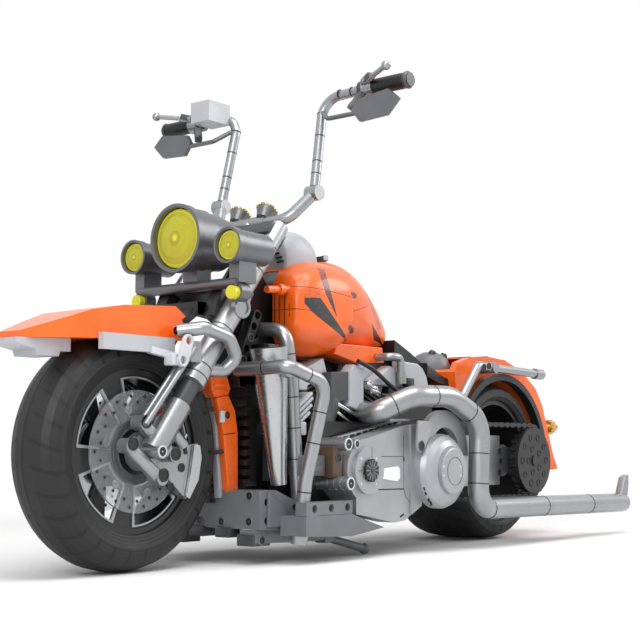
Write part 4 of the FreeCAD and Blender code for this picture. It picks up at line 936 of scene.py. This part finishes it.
def between(start, end, share):
    """The place at this share of the way from start to end."""
    return tuple(a + (b - a) * share for a, b in zip(start, end))


def seams_on(path, radius, marks):
    """Seams on a path, each at a share of one of its straight runs and square to a direction."""
    return [seam(between(path[run], path[run + 1], share), along, radius) for run, share, along in marks]


EXHAUST_SEAMS = [(5, 0.06, (-1, 0, -0.014)), (5, 0.40, (-1, 0, -0.014)), (5, 0.72, (-1, 0, -0.014)),
                 (4, 0.38, (0.083, 0.01, -1)), (4, 0.72, (0.083, 0.01, -1)), (3, 0.62, (-0.92, 0.05, -0.4)),
                 (2, 0.5, (-1, 0.12, 0)), (1, 0.5, (-21, 17.5, 12.2))]
rings = seams_on(EXHAUST_PATH, EXHAUST_RADIUS, EXHAUST_SEAMS)
finish_piece(joined(rings), "exhaust_seams", "frame", "black_joint_and_hollow_shade")
CRASH_SEAMS = [(2, 0.3, (7, -10, -58)), (2, 0.62, (7, -10, -58)), (3, 0.2, (2.5, -3.5, -36)),
               (1, 0.5, (-30, 4, -9)), (0, 0.55, (-1, 40, 0))]
PIPE_SEAMS = [(2, 0.15, (-6.5, 0.5, -76)), (2, 0.4, (-6.5, 0.5, -76)), (2, 0.65, (-6.5, 0.5, -76)),
              (1, 0.5, (-4, 1, -30))]
rings = seams_on(CRASH_PATH, CRASH_RADIUS, CRASH_SEAMS) + seams_on(PIPE_PATH, PIPE_RADIUS, PIPE_SEAMS)
both_sides(rings, "tube_seams", "frame", "black_joint_and_hollow_shade", SHARP_CREASE)
print("seams", len(EXHAUST_SEAMS) + 2 * len(CRASH_SEAMS + PIPE_SEAMS))

# %% [markdown]
# ## Down tube, seat and engine covers
# The orange down tube is built from thin side panels under a ribbed block, with pale strips and a
# holed black beam between them. The seat is an S-curved band with one round dark pad. The covers over
# the heads are flat pale panels with bevelled edges.

# %% Down tube panels and strips
TUBE_SIDE = [(95, 44), (100, 39), (104, 43), (108.5, 79), (112, 91), (115, 99), (104, 101), (98, 92),
             (95.4, 79)]
TUBE_TOP = [(103, 101.2), (114.8, 99.4), (118, 104), (118.5, 114), (106, 117), (101, 105)]
STRIP = [(98.7, 39), (105.8, 39), (109.5, 74), (111, 91), (103.6, 91), (99, 74)]
panels = [slab(TUBE_SIDE, 9.2, 14.0, 0.6), slab(TUBE_TOP, 5.0, 13.0, 0.7)]
for height in (103.6, 107.2, 110.8):
    panels.append(set_at(brick((11, 1.2, 1.6), 0.3), Matrix.Translation(at(111.0, 13.2, height))))
stand_in(both_sides(panels, "down_tube_panels", "frame", "orange"), "down_tube")
stand_in(both_sides([slab(STRIP, 4.2, 9.0)], "pale_strips", "frame", "light_grey"), "front_strips")

# %% Seat band and pad
SEAT_BAND = [(-62.5, 145), (-62.5, 133), (-84, 124), (-104, 118), (-131, 112), (-146, 112.5), (-150, 117),
             (-133, 118), (-118, 121.5), (-100, 128.5), (-82, 137), (-71, 141.5)]
PAD = [(1.0, 0.0), (12.0, 0.0), (15.0, 4.0), (16.0, 9.0), (15.5, 14.0), (13.5, 18.5), (10.0, 22.0), (5.5, 24.0),
       (0.6, 24.5)]
WAIST = [(-40, 100), (-40, 160), (-96, 160), (-96, 100)]
seat = slab(SEAT_BAND, -24, 24, 1.2)
for low, high in ((19.0, 60.0), (-60.0, -19.0)):
    seat = cut_out(seat, slab(WAIST, low, high, 0.5))
stand_in(finish_piece(seat, "seat_band", "frame", "black", CREASE), "seat")
pad = set_at(turned(PAD, 40), facing((-135, 0, 117), UP))
stand_in(finish_piece(pad, "seat_bun", "frame", "mid_grey", BUN_CREASE), "seat_pad")

# %% Engine covers, heads and intake
COVERS = [[(9, 119), (8.8, 96.5), (1.5, 94), (-6.5, 97.5), (-6.5, 122), (4, 124)],
          [(-14, 111), (-18, 114.5), (-36, 125), (-42, 124), (-43, 111)],
          [(-50, 129), (-50, 111.5), (-83, 112), (-81, 119), (-76, 125), (-70, 128)]]
ENGINE_SIDE = 25.2
covers = [slab(outline, ENGINE_SIDE, 34.0, 1.0) for outline in COVERS]
stand_in(both_sides(covers, "head_covers", "frame", "light_grey"), "engine_covers")
HEAD = [(9.2, 100), (27.5, 99), (27.5, 118), (9.2, 119)]
both_sides([slab(HEAD, ENGINE_SIDE, 33.0, 0.6)], "head_blocks", "frame", "dark_grey")
OIL_TANK = [(-46, 83), (-46, 116), (-98, 112), (-103, 83)]
finish_piece(slab(OIL_TANK, -ENGINE_SIDE, ENGINE_SIDE, 1.0), "oil_tank", "frame", "black", CREASE)
INTAKE = [(-33, 25.5, 131), (-34, 36.6, 131), (-44.5, 36.6, 131), (-46, 36.6, 114)]
intake = joined([bent(INTAKE, [4, 4], 2.7), rod((-45.2, 36.6, 121), (-46, 36.6, 113), [3.4, 3.4])])
stand_in(finish_piece(intake, "intake_tube", "frame", "silver", CREASE), "intake_pipe")

# %% Gauges
GAUGE = [(4.6, 0.0), (5.4, 3.0), (6.2, 5.0), (6.8, 6.4), (6.8, 8.0), (6.2, 8.3), (5.8, 7.6)]
stands = [facing((70.2, side * 11.5, 214.6), (-4, 0, 6.8)) for side in (1, -1)]
stand_in(finish_piece(at_each(turned(GAUGE, 28), stands), "gauge_cups", "fork", "dull_silver"), "gauges")
GAUGE_TEETH = 18
tooth = turned([(0.75, 0.0), (0.75, 1.3), (0.5, 1.5)], 6)
on_rim = Matrix.Translation((6.6 * MM, 0, 6.6 * MM))
teeth = [stand @ Matrix.Rotation(2 * math.pi * index / GAUGE_TEETH, 4, "Z") @ on_rim
         for stand in stands for index in range(GAUGE_TEETH)]
finish_piece(at_each(tooth, teeth), "gauge_teeth", "fork", "gold")
print("pieces", len(MADE))

# %% [markdown]
# ## Fork tubes, yokes and loop
# The fork legs are silver tubes that get thicker below the lamps, end in a collar over a dark slider,
# and show fine seams where tube lengths meet. Two dark yokes hold them. The bent loop at the side
# runs from the fender's pin round the outside of the leg. These forms follow the CAD fork closely.

# %% Fork legs and yokes
LEG_UP = Vector((-math.sin(RAKE), 0, math.cos(RAKE)))
LEG_FORWARD = Vector((math.cos(RAKE), 0, math.sin(RAKE)))
FRONT_AXLE = Vector((FRONT_X, 0, FRONT_RADIUS))
LEG_Y = 28.0


def on_leg(along, y=LEG_Y, forward=0.0):
    """A place on the raked fork: so far up its leg, to its side, and ahead of it."""
    return tuple(FRONT_AXLE + LEG_UP * along + LEG_FORWARD * forward + Vector((0, y, 0)))


def beside(places):
    """Stands that face outwards at places on the left and at their mirrors on the right."""
    return [facing(place, LEFT) for place in places] + [facing((x, -y, z), RIGHT) for x, y, z in places]


LEG_STEPS = [(6.6, 49.0), (7.6, 49.0), (7.9, 49.8), (7.9, 59.6), (7.1, 60.4), (7.1, 117.0), (5.7, 118.5),
             (5.7, 176.3)]
YOKE = [(6.2, -29.5), (6.2, 29.5), (-6.2, 29.5), (-16.5, 9), (-16.5, -9), (-6.2, -29.5)]
LEG_SIDES = (LEG_Y, -LEG_Y)
legs = at_each(turned(LEG_STEPS, 36), [facing(on_leg(0, y), LEG_UP) for y in LEG_SIDES])
flat = Matrix((LEG_FORWARD.to_4d(), (0, 1, 0, 0), LEG_UP.to_4d(), (0, 0, 0, 1))).transposed()
yokes = []
for low, high in ((116.0, 125.0), (166.0, 174.0)):
    stand = Matrix.Translation(at(*on_leg((low + high) / 2, 0))) @ flat
    yokes.append(set_at(plate(YOKE, high - low, [], 0.8), stand))
yokes.append(rod(on_leg(116.0, 0, -12), on_leg(174.0, 0, -12), [4.2, 4.2]))
stand_in(finish_piece(legs, "leg_tubes", "fork", "leg_silver", CREASE), "fork_tubes")
finish_piece(joined(yokes), "yokes", "fork", "dark_grey", CREASE)
rings = [seam(on_leg(along, y), LEG_UP, radius) for y in LEG_SIDES
         for along, radius in ((54.0, 7.9), (61.2, 7.1), (90.0, 7.1), (138.0, 5.7), (158.0, 5.7))]
finish_piece(joined(rings), "leg_seams", "fork", "black_joint_and_hollow_shade")

# %% Side loop
LOOP = [(161, 27, 135.5), (151, 39, 137.5), (133, 40.5, 133), (122.5, 37.5, 121.5), (129, 33, 114.0),
        (141, 28.5, 114.5)]
stand_in(both_sides([bent(LOOP, [6, 10, 6, 4], 4.0)], "side_loops", "fork", "silver"), "fork_loop")
boss = turned([(6.4, -1.5), (6.9, -1.0), (6.9, 2.2), (6.3, 2.8), (4.6, 2.8), (4.4, 1.9), (2.0, 1.9)], 28)
finish_piece(at_each(boss, beside([(115.5, 33.5, 152.5)])), "lamp_bosses", "fork", "silver")
print("fork", len(MADE), "pieces so far")

# %% [markdown]
# ## Beams, pins and links
# The dark parts between the bright ones are pin-hole beams. A beam is a plate with round ends and a
# row of holes; a bar is a block between two points. Pins show as small rimmed rings. With these, the
# open places behind the fork, round the hub and in front of the engine are filled in.

# %% Beams and bars
BEAM_HALF = 3.7
PIN_RADIUS = 2.4
BEAM_EDGE = 0.35
PIN_PITCH = 8


def beam(start, end, low, high, holes):
    """A pin-hole beam with round ends, upright between two distances from the middle."""
    (x0, z0), (x1, z1) = start, end
    turn = math.atan2(z1 - z0, x1 - x0)
    outline = [(x + BEAM_HALF * math.cos(first + step * math.pi / 8),
                z + BEAM_HALF * math.sin(first + step * math.pi / 8))
               for x, z, first in ((x0, z0, turn + math.pi / 2), (x1, z1, turn - math.pi / 2))
               for step in range(9)]
    rounds = [(x0 + (x1 - x0) * step / (holes - 1), z0 + (z1 - z0) * step / (holes - 1), PIN_RADIUS)
              for step in range(holes)]
    return slab(outline, low, high, BEAM_EDGE, rounds)


def bar(start, end, wide, high, edge=0.4):
    """A bevelled bar between two points, so wide and so high across its run."""
    way = Vector(end) - Vector(start)
    stand = Matrix.Translation(at(*between(start, end, 0.5))) @ way.to_track_quat("X", "Z").to_matrix().to_4x4()
    return set_at(brick((way.length, wide, high), edge), stand)


def block(low, high, edge=0.4):
    """A bevelled block between two opposite corners."""
    size = [b - a for a, b in zip(low, high)]
    return set_at(brick(size, edge), Matrix.Translation(at(*between(low, high, 0.5))))


# %% Fork links, stays and small parts
links = [beam((160.4, 129.7), (164.8, 118.4), 33.4, 36.0, 2),
         block((158.5, 26, 115.5), (171, 33.2, 122.5), 0.8), bar((180, 24, 124), (164, 27, 121), 5, 4)]
both_sides(links, "fender_links", "fork", "white_grey")
both_sides([block((166, 33.2, 116.8), (168, 33.9, 121.5), 0.2)], "link_inlays", "fork", "blue", SHARP_CREASE)
clip = bar((173, 25.5, 88.3), (167.5, 25.5, 91.2), 5, 2.6, 0.5)
both_sides([clip], "stay_clips", "fork", "red", SHARP_CREASE)
stays = [beam((119.6, 134.4), (101.4, 156.8), 19.5, 24.5, 4), bar((152, 17, 141), (140, 17, 149), 10, 5),
         bar((127.5, 22, 145.2), (119, 22, 163.6), 9, 9, 0.6), block((126, -16, 148), (134, 16, 156), 0.6)]
both_sides(stays, "fork_stays", "fork", "black")
pin_holes("stay_pins", "fork", beside([(119.6, 24.6, 134.4), (101.4, 24.6, 156.8)]), "gold", 0.9)
pin_holes("fender_pins", "fork", beside([(159.8, 24.1, 136.0)]), "orange", 0.95)

# %% Hub pins, caliper and disc studs
HUB_PINS = [(187.7, 30.6, 83.7), (197.4, 30.6, 71.5), (164.9, 30.6, 65.9), (174.1, 30.6, 54.3)]
pin_holes("hub_pins", "fork", beside(HUB_PINS), "black", 1.25)
pin_holes("axle_pin", "fork", beside([(FRONT_X, 36.0, FRONT_RADIUS)]), "white_grey", 1.1)
CALIPER_PINS = [(157.3, 22.2, 69.4), (160.6, 22.2, 47.2), (152.0, 22.2, 58.0)]
pin_holes("caliper_pins", "fork", beside(CALIPER_PINS), "black", 0.85)
CRESCENT = [(143.9, 70.8), (139.0, 70.8), (137.3, 63.8), (139.8, 50.6), (147.0, 40.2), (149.8, 41.3),
            (146.8, 54.4), (145.2, 63.1)]
both_sides([slab(CRESCENT, 22.0, 24.4, 0.5)], "caliper_rims", "fork", "bright_silver")
coils = [bar((164.5 - 2.2 * step, 24, 82.6 - 1.9 * step), (163.2 - 2.2 * step, 24, 81.5 - 1.9 * step),
             7, 6, 0.25) for step in range(5)]
both_sides(coils, "caliper_springs", "fork", "bright_silver")
DISC_FACE, STUD_FOOT = 16.05, 15.9
DISC_HOLES, DISC_STUDS = 18, 6
holes = [(FRONT_X + ahead, DISC_FACE, FRONT_RADIUS + up)
         for radius, first in ((31.2, 0.0), (27.6, 0.17)) for ahead, up in circle(DISC_HOLES, radius, first)]
hole = turned([(1.0, -0.1), (1.0, 0.05), (0.3, 0.05)], 10)
# Painted shade: the holes through the clear disc are black discs.
finish_piece(at_each(hole, beside(holes)), "disc_holes", "front_wheel", "black_joint_and_hollow_shade")
studs = [(FRONT_X + ahead, STUD_FOOT, FRONT_RADIUS + up)
         for ahead, up in circle(DISC_STUDS, 24, math.radians(12))]
stud = turned([(2.5, 0), (2.5, 0.7), (2.1, 0.9), (1.5, 0.9), (1.4, 0.3)], 16)
finish_piece(at_each(stud, beside(studs)), "disc_studs", "front_wheel", "clear")
print("fork and wheel", len(MADE), "pieces so far")

# %% [markdown]
# ## Inner beams and lower frame
# Behind the fork and under the engine the model is a dark lattice of beams. A few real beams with
# their holes stand where the photograph shows them, so that no daylight shows where there is none.

# %% Steering-head beams and lower beams
inner = [beam((97, 116), (80.5, 151.5), 9, 16.5, 6), beam((88, 108), (74, 148), 4, 11, 6),
         bar((100, 0, 112), (80, 0, 150), 16, 10), block((78, -18, 106), (99, 18, 113), 0.8),
         block((62, 8, 118), (80, 22, 134), 0.8)]
both_sides(inner, "head_beams", "frame", "black")
pin_holes("head_pins", "frame", beside([(93.7, 16.6, 123.1), (87.1, 16.6, 137.3)]), "mid_grey", 0.9)
under = [block((12, 8, 33), (60, 32, 45), 0.8), block((-20, 8, 24), (16, 30, 34), 0.8),
         beam((44, 52), (20, 40), 32, 34, 4)]
both_sides(under, "lower_beams", "frame", "black")
stub = [rod((81, 24, 167.4), (60, 24, 169.2), [2.4, 2.4]), rod((70, 24, 168.3), (66, 24, 168.7), [3.6, 3.6])]
both_sides(stub, "tank_stubs", "frame", "orange")

# %% Lower panels, blocks and front pins
PANEL_PINS = [(105.1, 32.3, 40.9), (104.3, 31.3, 25.6), (104.3, 9.0, 25.0)]
front_stands = [facing((x, side * y, z), AHEAD) for side in (1, -1) for x, y, z in PANEL_PINS]
pin_holes("panel_pins", "frame", front_stands, "mid_grey", 0.95)
CHIN = [(98.6, 22.5), (98.0, 43), (82.5, 32.3), (82, 22.5)]
both_sides([slab(CHIN, 40.0, 42.0, 0.5)], "chin_plates", "frame", "mid_grey")
blocks = [block((94, 5, 15.5), (106, 17, 21.8), 0.7), block((90, 22, 11), (105, 36, 18), 0.7)]
both_sides(blocks, "keel_blocks", "frame", "dark_grey")
pin_holes("keel_pins", "frame", beside([(98.0, 36.1, 14.4)]), "mid_grey", 0.95)
pin = turned([(1.9, -0.4), (1.9, 0.5), (1.6, 0.8), (0.8, 0.8), (0.7, 0.2)], 14)
front_face = [facing((109.4 + (z - 40) * 0.125, side * 2.0, z), (1, 0, -0.12))
              for z in range(42, 88, PIN_PITCH) for side in (1, -1)]
finish_piece(at_each(pin, front_face), "beam_pins", "frame", "brown_pin")
pin_holes("tube_pins", "frame", beside([(105.3, 14.1, 89.0)]), "orange", 0.95)
both_sides([block((108.6, 13.9, 84.5), (112.6, 15.6, 91.5))], "tube_clips", "frame", "white_grey")
joint = bar((97.5, 14.05, 78.3), (108.2, 14.05, 77.2), 0.3, 0.5, 0.1)
both_sides([joint], "tube_joints", "frame", "black_joint_and_hollow_shade", SHARP_CREASE)
print("frame", len(MADE), "pieces so far")

# %% [markdown]
# ## Engine
# Between the crash bar and the exhaust the real engine shows slanted light fins, a dark cylinder
# with pale bands, chrome carburettor parts and two black moulded tubes. Below them sit a brown block,
# a grey box and the ends of two pegs.

# %% Fins, bands and blocks
FINS = [(64.4, 93.3, 48.6, 103.7), (64.4, 89.9, 48.0, 100.7), (63.8, 86.6, 49.1, 96.3),
        (63.8, 83.2, 51.0, 91.5)]
fins = [bar((x0, 25, z0), (x1, 25, z1), 20, 2.0) for x0, z0, x1, z1 in FINS]
fins += [block((54.8, 25, 77), (63.8, 35, 85.5), 0.8), block((52.6, 25, 105.5), (61, 34, 112.8), 0.8)]
both_sides(fins, "front_fins", "frame", "light_grey")
bands = [bar((22, 30, 97.4), (-5.6, 30, 87.6), 9, 2.2, 0.5),
         bar((25.6, 29, 94.0), (3.6, 29, 84.3), 9, 1.8, 0.5)]
both_sides(bands, "cylinder_bands", "frame", "bright_silver")
darks = [rod((31, 24, 83), (21, 24, 100), [10, 10.6, 9.6, 10.6, 10]),
         bar((37, 26, 94), (28, 26, 82), 8, 3, 0.5), bar((34, 26, 96), (24, 26, 83), 8, 3, 0.5)]
both_sides(darks, "dark_cylinders", "frame", "dark_grey")
carb = [rod((-8, 33, 111.5), (-17, 33, 108.5), [2.6, 3.2, 2.6, 3.2]),
        rod((-14, 34, 107.5), (-24, 34, 105), [1.6, 2.4, 1.6]),
        bar((-10, 34, 113.5), (-14, 34, 105.5), 3, 2.2), bar((-19, 34, 110), (-22, 34, 103.5), 3, 1.8)]
both_sides(carb, "carburettor_parts", "frame", "bright_silver")
LONG_TUBE = [(2.3, 35.5, 126.2), (-9, 36.5, 123.2), (-20.7, 36.8, 117.5), (-32.5, 36.8, 111), (-42, 37, 107.4)]
SHORT_TUBE = [(-55.5, 38, 115.7), (-55, 39, 110.5), (-46, 39, 107.2), (-35, 38.5, 104), (-21.6, 37, 104.6)]
tubes = [hose(LONG_TUBE, 1.5), hose(SHORT_TUBE, 1.1), block((-58.4, 34, 111), (-50, 39, 117.2), 1.0)]
finish_piece(joined(tubes), "moulded_tubes", "frame", "rubber_hose", CREASE)

# %% Peg ends, blocks and rail
pin_holes("peg_pins", "frame", beside([(47, 62.1, 71.5), (50, 66.1, 47.5)]), "white_grey", 1.25)
both_sides([block((45, 44, 50.8), (54.6, 56, 70.4), 0.7)], "brown_blocks", "frame", "brown_pin")
pin_holes("block_pins", "frame", beside([(49.6, 56.1, 63.0)]), "dark_grey", 0.95)
boxes = [block((55, 30, 52), (67, 50, 64.5), 0.8), block((56.5, 49.6, 54.5), (65.5, 50.6, 58.5), 0.3)]
both_sides(boxes, "grey_boxes", "frame", "mid_grey")
finish_piece(rod((35.7, 50, 71.6), (35.7, 59.8, 71.6), [2.9, 2.9]), "small_socket", "frame", "silver", CREASE)
pin_holes("socket_pin", "frame", [facing((35.7, 60.0, 71.6), LEFT)], "white_grey", 0.9)
rail = [bar((33, 40, 74.6), (-37, 40, 87.0), 5, 3.0),
        slab([(-7, 86.2), (-7, 88.0), (-47, 88.8), (-47, 87)], 44, 55, 0.3)]
finish_piece(joined(rail), "top_rail", "frame", "silver", CREASE)
RAIL_SLOTS = 9
SLOT_ROW = (28, 42.6, 75.4), (-34, 42.6, 86.4)
slots = [bar(between(*SLOT_ROW, (step + 0.15) / RAIL_SLOTS), between(*SLOT_ROW, (step + 0.75) / RAIL_SLOTS),
             0.4, 1.4, 0.1) for step in range(RAIL_SLOTS)]
# Painted shade: the slots are black bars where the rail is open.
finish_piece(joined(slots), "rail_slots", "frame", "black_joint_and_hollow_shade")
BRACKET = [(-22.9, 87.1), (-36.3, 86.5), (-39.0, 82.8), (-29.6, 68.6), (-27.6, 66.8), (-24.4, 66.2),
           (-21.8, 67.6), (-21.0, 70.4)]
finish_piece(slab(BRACKET, 64.6, 66.8), "cover_bracket", "frame", "case_silver", CREASE)
pin_holes("bracket_pin", "frame", [facing((-25.3, 66.9, 70.4), LEFT)], "dark_grey", 1.15)
print("engine", len(MADE), "pieces so far")

# %% [markdown]
# ## Primary cover
# The big silver cover is built from panels, so fine black joints cross it. A small black fan with twelve blades
# sits in a round plate with four bright dots that are painted highlights, and a white window lies behind it.

# %% Joints, fan and window
FINE = (0.25, 0.35, 0.08)
COVER_JOINTS = [((20.8, 60.5, 62.6), (20.8, 60.5, 69.4), FINE), ((35.4, 60.5, 54.9), (31.0, 60.5, 54.9), FINE),
                ((9.0, 58, 63.6), (-17.6, 58, 63.6), FINE), ((-17.5, 58, 42.0), (-17.5, 58, 77.0), FINE),
                ((-17.5, 58, 42.2), (-19.3, 58, 37.6), FINE), ((-19.3, 58, 37.6), (-24, 58, 33.6), FINE),
                ((10.6, 58, 42.6), (-17.4, 58, 42.4), (0.3, 0.8, 0.1)),
                ((-17.5, 58, 60.4), (-17.5, 58, 63.0), (0.4, 1.4, 0.1)),
                ((-12.9, 58, 24.4), (-17.6, 58, 26.0), (0.3, 1.3, 0.1))]
lines = [bar(start, end, *size) for start, end, size in COVER_JOINTS]
finish_piece(joined(lines), "cover_joints", "frame", "black_joint_and_hollow_shade")
WINDOW = [(6.7, 49.3), (6.7, 55.9), (-10.4, 57.2), (-12.3, 55.4), (-12.3, 49.6), (-9.7, 47.5)]
finish_piece(slab(WINDOW, 57.6, 58.9), "cover_window", "frame", "white_window", CREASE)
FAN_AT = facing((23.0, 62.5, 55.0), LEFT)
FAN_BLADES = 12
pitched = Matrix.Translation((4.4 * MM, 0, 0.1 * MM)) @ Matrix.Rotation(0.25, 4, "X")
blade = set_at(brick((4.6, 0.9, 0.7), 0.2), pitched)
blades = [FAN_AT @ Matrix.Rotation(2 * math.pi * index / FAN_BLADES, 4, "Z") for index in range(FAN_BLADES)]
finish_piece(at_each(blade, blades), "fan_blades", "frame", "mid_grey")
hub = turned([(1.8, -0.2), (1.8, 0.5), (1.3, 0.8), (0.6, 0.8)], 16)
finish_piece(at_each(hub, [FAN_AT]), "fan_hub", "frame", "dark_grey")
dot = turned([(0.9, -0.2), (0.9, 0.2), (0.6, 0.35)], 12)
# The four dots on the fan's plate are painted highlights; the four on the dome's ring plate are white dots.
dots = [(32.1, 60.5, 62.4), (16.4, 60.5, 62.3), (32.2, 60.5, 46.7), (16.7, 60.5, 46.4), (-37.4, 76.2, 56.7),
        (-57.9, 76.2, 56.5), (-37.3, 76.2, 50.8), (-57.8, 76.2, 50.4)]
finish_piece(at_each(dot, [facing(place, LEFT) for place in dots]), "cover_dots_and_highlights", "frame", "white_grey")
DOME_SLOTS = [(-29.0, 43.5), (-30.6, 40.4), (-34.0, 35.8), (-36.6, 33.6)]
slots = [bar((x, 66, z), (x - 1.2, 66, z - 2.2), 1.2, 1.2, 0.2) for x, z in DOME_SLOTS]
# Painted shade: the slots in the dome are black bars.
finish_piece(joined(slots), "dome_slots", "frame", "black_joint_and_hollow_shade")
print("primary", len(MADE), "pieces so far")

# %% [markdown]
# ## Bars, tank cap and rear details
# The tall bars are built from short tube lengths, so black seams cross them, and black rubber-like
# grips have ribs. The mirrors have a raised rim. The tank's cap is a chrome ring. At the back, small
# pins, a dark nub on the seat and a red lamp tip are what the eye meets first.

# %% Bar seams, grip ribs and mirror rims
BAR_PATH = [(54.2, 40.4, 230), (40.5, 37, 294), (42, 72, 294.7)]
upright = Vector(BAR_PATH[1]) - Vector(BAR_PATH[0])
BAR_RADIUS = 3.2
rings = seams_on(BAR_PATH, BAR_RADIUS, [(0, share, upright) for share in (0.06, 0.2, 0.33, 0.6, 0.84)])
rings += [seam((42, y, 294.7), LEFT, BAR_RADIUS) for y in (52, 62)]
both_sides(rings, "bar_seams", "fork", "black_joint_and_hollow_shade", SHARP_CREASE)
ribs = [seam((41.9, y, 294.8), LEFT, 5.0, 1.0) for y in range(82, 101, 3)]
both_sides(ribs, "grip_ribs", "fork", "black_joint_and_hollow_shade", SHARP_CREASE)
cranks = [rod((42, 69, 294.7), (42, 79, 294.7), [5.4, 5.4]), bar((45, 72, 291), (50, 66, 281), 5, 5, 0.6),
          rod((42, 103.6, 294.8), (42, 106.6, 294.8), [5.3, 5.6, 4.6]),
          bar((46, 74, 297.5), (50, 83, 300), 5, 4, 0.5)]
both_sides(cranks, "bar_joints", "fork", "dark_grey")
MIRROR_RIM = [(72, 280.4), (75.4, 284.2), (97.4, 286.8), (104.2, 281), (96.2, 273.4), (77, 272.6)]
MIRROR_FACE = 50.9
edges = [bar((MIRROR_FACE, y0, z0), (MIRROR_FACE, y1, z1), 0.5, 0.5, 0.1)
         for (y0, z0), (y1, z1) in zip(MIRROR_RIM, MIRROR_RIM[1:] + MIRROR_RIM[:1])]
both_sides(edges, "mirror_rims", "fork", "dark_grey", SHARP_CREASE)
both_sides([rod((47, 76, 298), (50.5, 84.6, 299), [3.0, 2.4, 2.4, 1.8])], "lever_roots", "fork", "silver")

# %% Tank cap and head slots
cap = turned([(6.4, -2.0), (7.4, -1.2), (7.4, 1.2), (6.8, 1.9), (4.4, 1.9), (4.0, 0.8), (0.5, 0.8)], 32)
finish_piece(set_at(cap, facing((0.6, 0, 197.6), (0.1, 0, 1))), "cap_ring", "frame", "bright_silver", CREASE)
head = [bar((52, y, z), (52, y + 5, z + 0.6), 3.0, 1.0, 0.15)
        for y, z in ((7.0, 191.5), (8.2, 188.7), (4.8, 194.3))]
# Painted shade: the slots in the housing are black bars.
both_sides(head, "head_slots", "frame", "black_joint_and_hollow_shade", SHARP_CREASE)

# %% Fender joints
FENDER_TOP = [(-146, 137.15), (-170, 138.65), (-195, 137.15), (-222, 129.1), (-243, 116.1), (-253, 103.1)]
FENDER_HALF = 29.6
joints = [rod((x, -FENDER_HALF, z), (x, FENDER_HALF, z), [0.25, 0.25]) for x, z in FENDER_TOP]
finish_piece(joined(joints), "fender_joints", "frame", "black_joint_and_hollow_shade")

# %% Crossbar connectors, rear pins and seat nubs
cross = [rod((84, 39.5, 117.2), (84, 46, 117.0), [5.4, 5.9, 5.9, 5.4]),
         rod((66.5, 34, 117.4), (73.5, 34, 117.4), [5.3, 5.7, 5.3])]
both_sides(cross, "crossbar_clips", "frame", "silver")
pin_holes("strut_pins", "frame", beside([(-141.4, 44.2, 128.7), (-148.2, 44.3, 129.8)]), "black", 0.8)
SWINGARM_PINS = [(-151.3, 50.1, 66.7), (-152.5, 50.1, 59.3), (-150.9, 50.1, 51.2)]
pin_holes("swingarm_pins", "frame", beside(SWINGARM_PINS), "dark_grey", 0.9)
marks = [facing((REAR_X + ahead, 63.1, REAR_RADIUS + up), LEFT)
         for radius, count in ((17.5, 10), (9.0, 5)) for ahead, up in circle(count, radius)]
dimple = turned([(2.6, -0.3), (2.6, 0.15), (2.1, 0.25), (1.9, -0.2), (0.4, -0.2)], 16)
# Painted shade: the dimples are painted black in their hollows.
finish_piece(at_each(dimple, marks), "sprocket_cover_holes", "frame", "black_joint_and_hollow_shade")
nubs = [rod((x, y, z), (x - 1.0, y * 1.2, z + 3.4), [3.2, 3.0, 2.0])
        for x, y, z in ((-130, 5, 138.6), (-143.5, 6, 137.0))]
finish_piece(joined(nubs), "seat_nubs", "frame", "black", CREASE)
both_sides([rod((-284.0, 22, 86), (-287.6, 22, 86), [3.2, 3.2, 2.0])], "tail_tips", "frame", "red")

# %% Brake hose ends
# The hose's free run crosses from the turning fork to the frame, so only its two ends are made.
ON_TUBE = [(105.3, 13.0, 67.2), (109.8, 10.5, 66.6), (113.4, 4.5, 65.6), (113.4, -3.5, 64.8),
           (109.8, -9.5, 64.4)]
ON_CALIPER = [(151, 24.4, 66), (155.5, 26.5, 75.5), (160.2, 29.0, 82.1), (161.5, 29.8, 84.5)]
finish_piece(hose(ON_TUBE, 1.2), "hose_on_tube", "frame", "rubber_hose")
finish_piece(hose(ON_CALIPER, 1.3), "hose_on_caliper", "fork", "rubber_hose")
print("rest", len(MADE), "pieces so far")

# %% [markdown]
# ## Far side of the engine
# The photograph doesn't show this side. Real V-twins carry a round timing cover and a long gearbox
# cover there, so a plain round cover, a smaller one and a long one in the same silver fill the place.

# %% Right-hand engine covers
TIMING = [(15.5, -0.5), (16.5, 0.0), (16.5, 3.0), (15.0, 4.2), (12.0, 4.2), (11.4, 5.2), (6.0, 6.0), (0.5, 6.0)]
SMALL = [(9.5, -0.5), (10.5, 0.0), (10.5, 2.6), (9.4, 3.6), (5.0, 4.4), (0.5, 4.4)]
right = [set_at(turned(TIMING, 40), facing((20, -35, 60), RIGHT)),
         set_at(turned(SMALL, 32), facing((-14, -35, 58), RIGHT)),
         slab([(-30, 46), (-30, 76), (-44, 79), (-80, 77), (-82, 63), (-76, 48)], -38.5, -34.6, 0.9)]
finish_piece(joined(right), "right_covers", "frame", "case_silver", CREASE)
screws = [facing((20 + ahead, -39.2, 60 + up), RIGHT) for ahead, up in circle(8, 13.4)]
screws += [facing((x, -38.5, z), RIGHT) for x, z in ((-34, 50), (-34, 72), (-76, 72), (-73, 52))]
screw = turned([(1.1, -0.3), (1.1, 0.3), (0.7, 0.5)], 12)
finish_piece(at_each(screw, screws), "right_screws", "frame", "dark_grey")
print("far side", len(MADE), "pieces so far")
